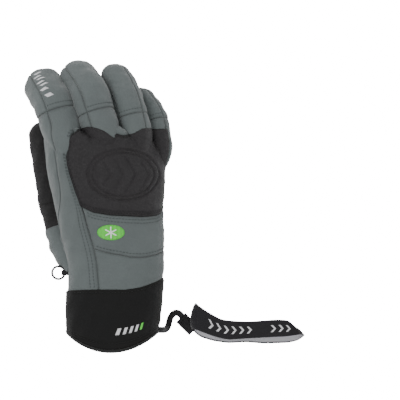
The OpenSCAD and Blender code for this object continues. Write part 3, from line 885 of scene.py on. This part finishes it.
spokes, rounds = np.meshgrid(np.linspace(0.02, 1, 16), np.linspace(0, 2 * np.pi, 73), indexing="ij")
badge_outer = badge_skin(spokes, rounds)
badge_cloth_xy = np.stack([spokes * np.cos(rounds) * 12, spokes * np.sin(rounds) * 7], -1)
badge_green = dyed("badge_green", srgb(86, 204, 66), 0.55, weave, 900, 7200, 0.0004, mottle=0.15, sheen=0.2)
badge_white = dyed("badge_white", srgb(226, 232, 226), 0.55, weave, 900, 7200, 0.0004, mottle=0.15,
    sheen=0.2)
# The patch's rim is marked as seam, so it takes painted seam shade.
badge = made(
    "badge_patch",
    [slab(badge_outer, badge_outer - np.array([0, 0, 1.5]), badge_cloth_xy,
        np.exp(-((1 - spokes) * 9) ** 2))],
    badge_green,
)
placed(badge, "hand", "badge", "badge")


def on_badge(u, v, lift):
    """A point of the patch by its place across and along it, from 0 to 1."""
    x, y = (v - 0.5) * 2, (u - 0.5) * 2
    return badge_skin(np.sqrt(x ** 2 + y ** 2), np.arctan2(y, x), lift)


flake_parts = []
for k in range(3):
    way = np.radians(60 * k + 90)
    along, aside = np.array([np.sin(way), np.cos(way)]), np.array([np.cos(way), -np.sin(way)])
    bar = [0.42 * along + 0.045 * aside, 0.42 * along - 0.045 * aside]
    bar += [-0.42 * along - 0.045 * aside, -0.42 * along + 0.045 * aside]
    corners = [(0.5 + 0.9 * c[0], 0.5 + 0.55 * c[1]) for c in bar]
    flake_parts += bars(on_badge, [corners], 0.2 + 0.07 * k, steps=9)
badge_flake = made("badge_snowflake", flake_parts, badge_white)
placed(badge_flake, "hand", "badge")


# ---- Palm ---------------------------------------------------------------------------------
# The palm is black grained synthetic leather in one piece, with a reinforcement patch
# and a folded welt sewn on, and a shirred elastic band across the wrist.
palm_leather = dyed("palm_leather", srgb(26, 26, 28), 0.5, grain, 1000, 800, 0.0003, mottle=0.35,
    painted_seam_shade=0.5)


def palm_creases(u, v, base):
    """Folds of the palm: two long creases across it where the hand bends."""
    first = base[..., 1] - 122 - 0.25 * base[..., 0]
    second = base[..., 1] - 100 + 0.3 * base[..., 0]
    return -0.9 * np.exp(-((first / 2.2) ** 2)) - 0.7 * np.exp(-((second / 2.4) ** 2))


palm, palm_lay = sewn(
    round_hand(level(66), front_y, level(188), level(328)), 102, 122, puff=0.8, extra=palm_creases
)
palm_cloth = made("palm_leather_panel", [palm], palm_leather)
wrist_bend(palm_cloth)
placed(palm_cloth, None, "palm_leather", "palm_panel", fill=0.6)


def patch_skin(u, v):
    """The palm patch: a rounded four-sided piece raised over the palm."""
    return palm_lay(0.2 + 0.38 * u + 0.05 * np.sin(np.pi * v), 0.56 + 0.36 * v, 1.3)[0]


def welt_skin(u, v):
    """The welt: a narrow folded strip that runs slantwise over the palm by the thumb."""
    return palm_lay(0.22 + 0.46 * u, 0.3 + 0.14 * u + 0.06 * v, 1.2)[0]


patch, patch_lay = sewn(patch_skin, 40, 42, thick=1.4, sunk=0.9, over=1.6)
welt, welt_lay = sewn(welt_skin, 48, 7, thick=1.3, sunk=0.9, over=1.6, puff=0.7)
patch_cloth = made("palm_patch_leather", [patch], palm_leather)
welt_cloth = made("palm_welt_leather", [welt], palm_leather)
for piece, node in ((patch_cloth, "palm_patch"), (welt_cloth, "palm_welt")):
    placed(piece, "hand", "palm_leather", node)
palm_rows = rows_on(
    patch_lay, 120, (0.05, 0.05, 0.05, 0.95), (0.95, 0.05, 0.95, 0.95), (0.05, 0.05, 0.95, 0.05),
    (0.05, 0.95, 0.95, 0.95), (0.11, 0.11, 0.11, 0.89), (0.89, 0.11, 0.89, 0.89),
)
palm_rows += rows_on(welt_lay, 120, (0.03, 0.15, 0.97, 0.15))
palm_rows += rows_on(palm_lay, 240, (0.78, 0.04, 0.78, 0.96), (0.81, 0.04, 0.81, 0.96))
palm_thread = made("palm_stitches", stitches(palm_rows, 2.7, radius=0.26), thread_black)
placed(palm_thread, "hand", "palm_leather")


def gathers(u, v, base):
    """Height of the shirred band: slanting gathers pinched by three rows of elastic."""
    pleats = np.sin(v * 165 + 5 * u) * 0.75 + 0.25 * np.sin(v * 97 - 3 * u)
    rows = np.abs(np.sin(np.pi * (u * 3))) ** 0.7
    return pleats * (0.35 + 0.65 * rows) + 1.1 * rows - 0.8


elastic, elastic_lay = sewn(
    round_hand(level(41), level(68), level(186), level(329)), 27, 108, step=0.9, puff=0.3, extra=gathers
)
elastic_cloth = made("wrist_elastic_shirring", [elastic], softshell)
wrist_bend(elastic_cloth)
placed(elastic_cloth, None, "softshell", "wrist_elastic")
elastic_rows = [row_on(elastic_lay, u, 0.01, u, 0.99, 300, 0.05) for u in (0.33, 0.66)]
elastic_thread = made("wrist_elastic_stitches", stitches(elastic_rows, 2.2, radius=0.26), thread_black)
wrist_bend(elastic_thread)
placed(elastic_thread, None, "softshell")

lower, _ = sewn(
    round_hand(lambda a: cuff_top(a - 360) - 3, level(41.5), level(186), level(329)), 23, 108, puff=0.5
)
lower_cloth = made("gauntlet_palm_shell", [lower], softshell)
placed(lower_cloth, "cuff", "softshell", "gauntlet_palm", fill=0.6)


# ---- Cuff -----------------------------------------------------------------------------------
# A black neoprene cuff in two halves sewn together at the sides, bound at its bowed
# open end and lined with fleece.
cuff_half_wide, cuff_bow, cuff_bow_y = 42, 63.0, 30


def cuff_end(angle):
    """The bowed open end: an arc seen from above."""
    x = cuff_half_wide * squared(np.cos(np.radians(angle)))
    return cuff_bow_y - np.sqrt(cuff_bow ** 2 - x ** 2)


def cuff_skin(bottom, top, low, high, out):
    """A piece of cuff between two edges and two angles, standing out from the hand form."""

    def skin(u, v):
        angle = low + (high - low) * v
        y = bottom(angle) + (top(angle) - bottom(angle)) * u
        return hand_form(y, angle, -out)

    return skin


def cuff_upper(angle):
    """Upper edge of the cuff all the way round."""
    return cuff_top(np.where(angle > 270, angle - 360, angle)) + 0.4


def cuff_swell(u, v, base):
    """Neoprene swells a little between its hem and its upper seam."""
    hem = np.exp(-(((u - 0.115) * 56 / 1.0) ** 2))
    return 0.9 * np.sin(np.pi * np.clip(u, 0, 1)) ** 0.8 - 0.55 * hem


neoprene = dyed("neoprene_black", srgb(4, 4, 4), 0.85, weave, 6800, 6800, 0.00012, mottle=0.3, sheen=0.05)
cuff_rows = []
for name, low, high in (("cuff_back", 2, 178), ("cuff_palm", 182, 358)):
    half, half_lay = sewn(
        cuff_skin(lambda a: cuff_end(a) + 2.6, cuff_upper, low - 1.8, high + 1.8, 1.3),
        56, 134, step=1.8, thick=2.4, sunk=1.1, over=2.2, extra=cuff_swell,
    )
    half_cloth = made(name + "_neoprene", [half], neoprene)
    placed(half_cloth, "cuff", "neoprene", name, fill=0.8)
    cuff_rows += rows_on(half_lay, 200, (0.115, 0.01, 0.115, 0.99), (0.95, 0.01, 0.95, 0.99))
    if name == "cuff_back":
        cuff_lay = half_lay


def cuff_face(u, v, lift):
    """The printed face of the cuff's back."""
    return cuff_lay(u, v, lift)[0]


cuff_marks = [leaning(0.25, 0.485 - 0.04 * k, 0.11, -0.02, -0.012) for k in range(4)]
cuff_print = made("cuff_print", turned_over(bars(cuff_face, cuff_marks, 0.16)), woven_white)
cuff_dot = made(
    "cuff_print_green",
    turned_over(bars(cuff_face, [leaning(0.25, 0.325, 0.11, -0.02, -0.012)], 0.16)),
    badge_green,
)
for piece in (cuff_print, cuff_dot):
    placed(piece, "cuff", "neoprene")
cuff_thread = made("cuff_stitches", stitches(cuff_rows, 2.9, radius=0.3), thread_black)
placed(cuff_thread, "cuff", "neoprene")


def sleeve(skin, rows, columns, long, round_it):
    """A closed tube wall from skin(u, v, depth) with v running all round: outer and inner
    faces joined by a rim at each end."""
    u, v = np.meshgrid(rows, np.linspace(0, 1, columns, endpoint=False), indexing="ij")
    outer, inner = skin(u, v, 0), skin(u, v, 1)
    face = grid_quads(len(rows), columns, wrap=True)
    total = len(rows) * columns
    index = np.arange(total).reshape(len(rows), columns)
    after = np.roll(index, -1, 1)
    low = np.stack([index[0], after[0], after[0] + total, index[0] + total], 1)
    high = np.stack([after[-1], index[-1], index[-1] + total, after[-1] + total], 1)
    quads = np.concatenate([face, face[:, ::-1] + total, low, high])
    cloth = np.stack([u * long, v * round_it], -1).reshape(-1, 2)
    points = np.concatenate([outer.reshape(-1, 3), inner.reshape(-1, 3)])
    return points, quads, np.concatenate([cloth, cloth]), np.zeros(2 * total)


def binding_skin(u, v, layer):
    """The folded binding: its profile goes from inside the mouth round the edge to the outside."""
    angle = v * 360
    turn = u * np.pi
    fold = 2.2 - 0.8 * layer
    out = -1.0 + fold * -np.cos(turn)
    back = np.where(u < 0.12, 1 - u / 0.12, 0) * 6 + np.where(u > 0.88, (u - 0.88) / 0.12, 0) * 1.2
    y = cuff_end(angle) + 2.0 - (fold - 0.3) * np.sin(turn) + back
    return hand_form(y, angle, -out - 0.8)


binding_cloth = dyed("binding_black", srgb(12, 12, 13), 0.65, weave, 3200, 3200, 0.0003, sheen=0.2)
binding = made(
    "cuff_binding_tape", [sleeve(binding_skin, np.linspace(0, 1, 33), 200, 14, 250)], binding_cloth
)
placed(binding, "cuff", "binding", "cuff_binding")


def lining_skin(u, v, layer):
    """Fleece inside the cuff and wrist, softly uneven."""
    angle = v * 360
    y = cuff_end(angle) + 3 + (64 - cuff_end(angle)) * u
    nap = 0.35 * np.sin(angle * 0.21) * np.sin(y * 0.5) + 0.2 * np.sin(angle * 0.83 + y)
    return hand_form(y, angle, 2.2 + nap + 1.3 * layer)


def hand_lining_skin(u, v, layer):
    """Fleece inside the hand, closed towards the fingers."""
    angle = v * 360
    y = 62 + 84 * u
    return hand_form(y, angle, 5.5 + 1.3 * layer + 9 * np.clip((u - 0.85) / 0.15, 0, 1) ** 2)


fleece = dyed("fleece_lining", srgb(34, 34, 37), 0.95, grain, 420, 1800, 0.0006, mottle=0.5, sheen=0.5)
cuff_lining = made("cuff_lining_fleece", [sleeve(lining_skin, np.linspace(0, 1, 50), 160, 95, 230)], fleece)
wrist_bend(cuff_lining)
hand_lining = made("hand_lining_fleece", [sleeve(hand_lining_skin, np.linspace(0, 1, 40), 120, 84,
    230)], fleece)
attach(hand_lining, "hand")
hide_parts("cuff_lining")
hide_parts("hand_lining")


# ---- Clip ring and its tape -------------------------------------------------------------------
# A moulded plastic ring hangs in a folded tape from the seam beside the gauntlet, to clip
# the two gloves together. The tape loops round the ring's wire and goes back into the seam.
ring_plastic = dyed("ring_plastic", srgb(30, 30, 31), 0.35, grain, 260, 2400, 0.00005, mottle=0.3,
    painted_seam_shade=0.0)
ring_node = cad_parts["clip_ring"]
ring_node.data.materials.clear()
ring_node.data.materials.append(ring_plastic)


def tape_skin(u, v, layer):
    """The tape: in from the seam, round the ring's wire and back, five millimetres wide."""
    run = v * 24
    bend = np.clip((run - 8) / 8, 0, 1) * np.pi
    reach = 2.9 - 0.8 * layer
    x = np.where(run < 8, -36.2 - 7.4 * run / 8, np.where(run > 16, -43.6 + 7.4 * (run - 16) / 8, -43.6))
    x = x - reach * np.sin(bend)
    z = 28 + reach * np.cos(bend)
    return np.stack([x, 38 + (u - 0.5) * 5, z], -1)


tape_u, tape_v = np.meshgrid(close_steps(5.4, 1)[1:-1], np.linspace(0, 1, 60), indexing="ij")
tape_edge = np.exp(-((np.minimum(tape_u, 1 - tape_u) * 5 / 0.5) ** 2))
ring_tape = made(
    "ring_tape_webbing",
    [slab(tape_skin(tape_u, tape_v, 0), tape_skin(tape_u, tape_v, 1),
        np.stack([tape_u * 5, tape_v * 24], -1), tape_edge)],
    webbing_black,
)
placed(ring_tape, "cuff", "webbing", "ring_tape")


# ---- Fingers ----------------------------------------------------------------------------------
# Each finger is a padded grey back, two grey side strips and a black leather palm side, sewn
# along its length, with a cross seam over the knuckle. It bends at two soft joints.
def eased(t):
    """A smooth step from 0 to 1."""
    t = np.clip(t, 0, 1)
    return t * t * (3 - 2 * t)


def finger_line(hinge, first, second, end_pitch, lean, roll, radius):
    """Centreline of a finger: directions that pitch down from 12 degrees to the end pitch at the
    middle joint and on round the tip, added up from the hinge both ways."""
    s = np.arange(-34, first + second + radius + 1.01, 0.25)
    pitch = 12 - 34 * eased((-4 - s) / 20) + (end_pitch - 12) * eased((s - first + 9) / 18)
    pitch = np.radians(pitch + (74 - end_pitch) * eased((s - first - second + 8) / (radius + 10)))
    lean, roll = np.radians(lean), np.radians(roll)
    a, b = -np.sin(pitch) * np.sin(roll), np.cos(pitch)
    way = np.stack([a * np.cos(lean) - b * np.sin(lean), a * np.sin(lean) + b * np.cos(lean),
        -np.sin(pitch) * np.cos(roll)], 1)
    centre = np.cumsum(way * 0.25, axis=0)
    centre = centre - centre[np.searchsorted(s, 0.0)] + np.array(hinge, float)
    across = np.array([np.cos(lean) * np.cos(roll), np.sin(lean) * np.cos(roll), -np.sin(roll)])
    return s, centre, way, across, unit(np.cross(across, way))


def finger_form(line, radius, total, s, phi, twist=0.0, sides=(1.0, 1.0)):
    """Point on a finger at place s along it and angle phi round it (0 little finger side, 90
    back, 270 palm): a round tube, narrower inside the hand, closed by a full round tip. Its seams
    twist towards the root, and its two sides may be fuller."""
    places, centre, way, across, up = line
    phi = phi + twist * eased((10 - s) / 26)
    mid = np.stack([np.interp(s, places, centre[:, k]) for k in range(3)], -1)
    lift = np.stack([np.interp(s, places, up[:, k]) for k in range(3)], -1)
    turn = np.radians(phi)
    tip = np.clip((s - (total - radius)) / radius, 0, 1)
    reach = radius * np.interp(s, [-34, -24, -12, -2, 8],
        [0.45, 0.56, 0.84, 0.985, 1.0]) * (1 - tip ** 2.3) ** (1 / 2.3)
    wide = (np.cos(turn) * np.where(np.cos(turn) > 0, sides[0], sides[1]))[..., None] * across
    tall = np.sin(turn)[..., None] * lift
    return mid + (wide + tall) * np.maximum(reach, 0.05)[..., None]


finger_leather = dyed("finger_leather", srgb(22, 23, 25), 0.5, grain, 1000, 800, 0.0003, mottle=0.35,
    painted_seam_shade=0.5)
finger_inside = -24  # a finger's tube starts this far inside the hand
finger_list = {
    "index": ((-44, 163, 58), 16.2, 28, 26, 50, 15, 15, (27, 127, 212, 330)),
    "middle": ((-10, 170, 59), 14.8, 29, 28, 50, 13, 20, (27, 135, 212, 330)),
    "ring": ((19.8, 166, 46.8), 13.0, 28, 28, 42, 8, 26, (68, 165, 225, 340)),
    "little": ((40.8, 157, 29.5), 10.8, 20, 22, 46, 0, 42, (90, 178, 235, 350)),
}
knuckle_seam = {"index": 19, "middle": 11, "ring": 12, "little": 17}
dark_angles = {"index": (-30, 66), "middle": (-15, 190), "ring": (0, 200), "little": (80, 215)}
fat_fingers = {"index": 1.07, "middle": 1.10, "ring": 1.11, "little": 1.12}
seam_twist = {"index": 22, "middle": 0, "ring": 0, "little": 0}
full_sides = {"index": (1.09, 1.0), "middle": (1.0, 1.1), "ring": (1.03, 1.0), "little": (1.0, 1.0)}
for finger, (hinge, radius, first, second, end_pitch, lean, roll, edges) in finger_list.items():
    line = finger_line(hinge, first, second, end_pitch, lean, roll, radius)
    total = first + second + radius * 0.96 + (3 if finger == "little" else 0)
    seam_at = knuckle_seam[finger]
    back_low, back_high, palm_low, palm_high = edges
    dark_low, dark_high = dark_angles[finger]
    fatness, twist, fuller = fat_fingers[finger], seam_twist[finger], full_sides[finger]
    quarter = radius * np.pi / 180

    def finger_piece(s0, s1, phi0, phi1, out=0.0, **how):
        """A sewn panel of this finger between two places, which may depend on the angle, and two
        angles, standing out mm proud."""

        def skin(u, v):
            phi = phi0 + (phi1 - phi0) * v
            low = s0(phi) if callable(s0) else s0
            high = s1(phi) if callable(s1) else s1
            place = low + (high - low) * u
            return finger_form(line, radius * fatness + out, total, place, phi, twist, fuller)

        long = (s1 if not callable(s1) else 4) - (s0 if not callable(s0) else -8)
        return sewn(skin, long, (phi1 - phi0) * quarter, step=1.7, **how)

    def dark_cut(phi):
        """Place along the finger where the dark panel's upper edge crosses it, for each angle."""
        root = finger_form(line, radius * fatness, total, 0 * phi, phi, twist, fuller)
        return np.clip((dark_top_x(root[..., 0]) - root[..., 1]) / line[2][136, 1], -23, seam_at - 2)

    def knuckle_folds(u, v, base):
        """Cross folds of the leather on the inside of the middle joint."""
        s = seam_at + (total - seam_at) * u
        return -0.9 * np.exp(-(((s - first) / 1.6) ** 2)) - 0.7 * np.exp(-(((s - first - 6) / 1.6) ** 2))

    def under_dark(phi):
        """The grey cloth starts a little under the dark panel's edge, and beside the dark panel
        it starts inside the hand."""
        share = np.clip((phi - dark_low + 3) / 6, 0, 1) * np.clip((dark_high + 3 - phi) / 6, 0, 1)
        return finger_inside + (dark_cut(phi) - 2 - finger_inside) * share

    base_back, _ = finger_piece(under_dark, seam_at, back_low, back_high, puff=0.6)
    dark_root, _ = finger_piece(finger_inside, dark_cut, dark_low, dark_high, out=0.9, sunk=0.8,
        over=1.4, puff=0.3)
    base_left, _ = finger_piece(under_dark, seam_at, back_high, palm_low, puff=0.3)
    base_right, _ = finger_piece(under_dark, seam_at, palm_high - 360, back_low, puff=0.3)
    base_palm, _ = finger_piece(finger_inside, seam_at, palm_low, palm_high, puff=0.6)
    tip_back, tip_lay = finger_piece(seam_at, total, back_low, back_high, puff=0.6, open_end=True)
    tip_left, _ = finger_piece(seam_at, total, back_high, palm_low, puff=0.3, open_end=True)
    tip_right, _ = finger_piece(seam_at, total, palm_high - 360, back_low, puff=0.3, open_end=True)
    tip_palm, _ = finger_piece(seam_at, total, palm_low, palm_high, puff=0.5, open_end=True,
        extra=knuckle_folds)

    places, centre, way, _, _ = line
    hinge_way = way[np.searchsorted(places, 0.0)]
    middle_centre = centre[np.searchsorted(places, float(first))]
    middle_way = way[np.searchsorted(places, float(first))]

    def at_knuckle(obj):
        """Bakes the piece's place into its mesh; it lies between the hand and the finger's first part."""
        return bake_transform(obj)

    def at_middle(obj):
        """Bakes the piece's place into its mesh; it lies at the joint between the finger's two parts."""
        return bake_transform(obj)

    pieces = [
        ("_base_back_shell", [base_back], softshell, at_knuckle,
            [finger + "_base_back", finger + "_base_lining"]),
        ("_root_leather", [dark_root], back_grain, at_knuckle, []),
        ("_base_sides_shell", [base_left, base_right], softshell, at_knuckle,
            [finger + "_base_fourchettes"]),
        ("_base_palm_leather", [base_palm], finger_leather, at_knuckle, [finger + "_base_palm"]),
        ("_tip_back_shell", [tip_back], softshell, at_middle,
            [finger + "_tip_back", finger + "_tip_lining"]),
        ("_tip_sides_shell", [tip_left, tip_right], softshell, at_middle, []),
        ("_tip_palm_leather", [tip_palm], finger_leather, at_middle, [finger + "_tip_palm"]),
    ]
    for ending, parts, material, bend_at, nodes in pieces:
        obj = made(finger + ending, parts, material)
        bend_at(obj)
        if nodes:
            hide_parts(*nodes)
    knuckle_rows = [row_on(tip_lay, 0.07, 0.04, 0.07, 0.96, 60)]
    thread = made(finger + "_knuckle_stitches", stitches(knuckle_rows, 2.4, radius=0.26), thread_grey)
    at_middle(thread)
    if finger == "index":
        marks = [leaning(0.16 + 0.085 * k, 0.64 + 0.06 * (k % 2), 0.036, 0.2, 0.07) for k in range(7)]

        def index_back(u, v, lift):
            """The printed face of the index finger's back."""
            return tip_lay(u, v, lift)[0]

        print_parts = bars(index_back, marks, 0.16)
        index_print = made("index_back_print", print_parts, woven_white)
        at_middle(index_print)
    if finger == "middle":
        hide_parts("knuckle_yoke")


# ---- Thumb ---------------------------------------------------------------------------------------
# The thumb is a dark leather tube over padding, set into a grey gusset at the side of the
# hand, with a softer palm side.
thumb_route = smoothed(
    [(-33, 40, 26), (-38, 52, 22), (-43, 66, 17), (-48.5, 82, 14.2), (-52.5, 100, 13.6),
        (-56.5, 119.5, 13.8), (-60.5, 140, 14),
     (-64.2, 160, 13.4), (-66, 174, 12.6)],
    140,
    passes=40,
)
thumb_run = np.cumsum(np.r_[0, np.linalg.norm(np.diff(thumb_route, axis=0), axis=1)])
thumb_way = unit(np.gradient(thumb_route, axis=0))
thumb_across = unit(np.cross(thumb_way, np.array([0, 0, 1.0])))
thumb_up = np.cross(thumb_across, thumb_way)
thumb_total = thumb_run[-1]


def thumb_form(s, phi, out=0.0):
    """Point on the thumb at place s from its root and angle phi (0 hand side, 90 up, 180 free
    side): an oval tube, fullest beyond its hinge, with a full round tip."""
    mid = np.stack([np.interp(s, thumb_run, thumb_route[:, k]) for k in range(3)], -1)
    side = np.stack([np.interp(s, thumb_run, thumb_across[:, k]) for k in range(3)], -1)
    lift = np.stack([np.interp(s, thumb_run, thumb_up[:, k]) for k in range(3)], -1)
    turn = np.radians(phi)
    tip = np.clip((s - (thumb_total - 13)) / 13, 0, 1)
    close = (1 - tip ** 2.3) ** (1 / 2.3)
    wide = (np.interp(s, [0, 14, 28, 44, 66, 86, 110, 140],
        [9, 13, 14.6, 14.4, 15.6, 15, 13.4, 12.6]) + out) * close
    tall = (np.interp(s, [0, 14, 28, 44, 66, 86, 110, 140],
        [10, 13, 14, 13, 12.8, 12.8, 12.6, 12]) + out) * close
    round_it = np.cos(turn)[..., None] * side * np.maximum(wide, 0.05)[..., None]
    return mid + round_it + np.sin(turn)[..., None] * lift * np.maximum(tall, 0.05)[..., None]


def thumb_piece(s0, s1, phi0, phi1, out=0.0, **how):
    """A sewn panel of the thumb between two places and two angles."""

    def skin(u, v):
        return thumb_form(s0 + (s1 - s0) * u, phi0 + (phi1 - phi0) * v, out)

    return sewn(skin, s1 - s0, (phi1 - phi0) * 0.24, step=1.7, **how)


def thumb_creases(u, v, base):
    """Folds across the thumb at its root and middle joint."""
    y = base[..., 1]
    fold = np.exp(-((y - 92 - 0.25 * base[..., 0] - 12) / 2.0) ** 2) + np.exp(-((y - 120) / 2.4) ** 2)
    return -0.7 * fold


thumb_leather = dyed("thumb_leather", srgb(19, 18, 19), 0.65, grain, 1100, 850, 0.00025, mottle=0.3,
    painted_seam_shade=0.5)
hinge_s = float(np.interp(82, thumb_route[:, 1], thumb_run))
middle_s = float(np.interp(119.5, thumb_route[:, 1], thumb_run))


def at_thumb_root(obj):
    """Bakes the piece's place into its mesh; it lies between the hand and the thumb's first part."""
    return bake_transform(obj)


def at_thumb_middle(obj):
    """Bakes the piece's place into its mesh; it lies at the joint between the thumb's two parts."""
    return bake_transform(obj)


gusset_up, _ = thumb_piece(0, hinge_s - 2, 20, 200, out=0.9, puff=0.4)
gusset_down, _ = thumb_piece(0, hinge_s - 2, 200, 380, out=0.9, puff=0.4)
base_up, _ = thumb_piece(hinge_s - 18, hinge_s + 20, 62, 245, sunk=0.35, over=1.3, extra=thumb_creases)
base_down, _ = thumb_piece(hinge_s - 18, hinge_s + 20, 245, 422, sunk=0.5, over=1.3)
end_up, _ = thumb_piece(
    hinge_s + 20, thumb_total, 62, 245, sunk=0.35, over=1.3, open_end=True, extra=thumb_creases
)
end_down, _ = thumb_piece(hinge_s + 20, thumb_total, 245, 422, sunk=0.5, over=1.3, open_end=True)
thumb_pieces = [
    ("thumb_gusset_shell", [gusset_up, gusset_down], softshell, at_thumb_root, ["thumb_gusset"]),
    ("thumb_base_back_leather", [base_up], thumb_leather, at_thumb_root,
        ["thumb_base_back", "thumb_base_lining"]),
    ("thumb_base_palm_leather", [base_down], finger_leather, at_thumb_root, ["thumb_base_palm"]),
    ("thumb_tip_back_leather", [end_up], thumb_leather, at_thumb_middle,
        ["thumb_tip_back", "thumb_tip_lining"]),
    ("thumb_tip_palm_leather", [end_down], finger_leather, at_thumb_middle, ["thumb_tip_palm"]),
]
for name, parts, material, bend_at, nodes in thumb_pieces:
    obj = made(name, parts, material)
    bend_at(obj)
    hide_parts(*nodes)
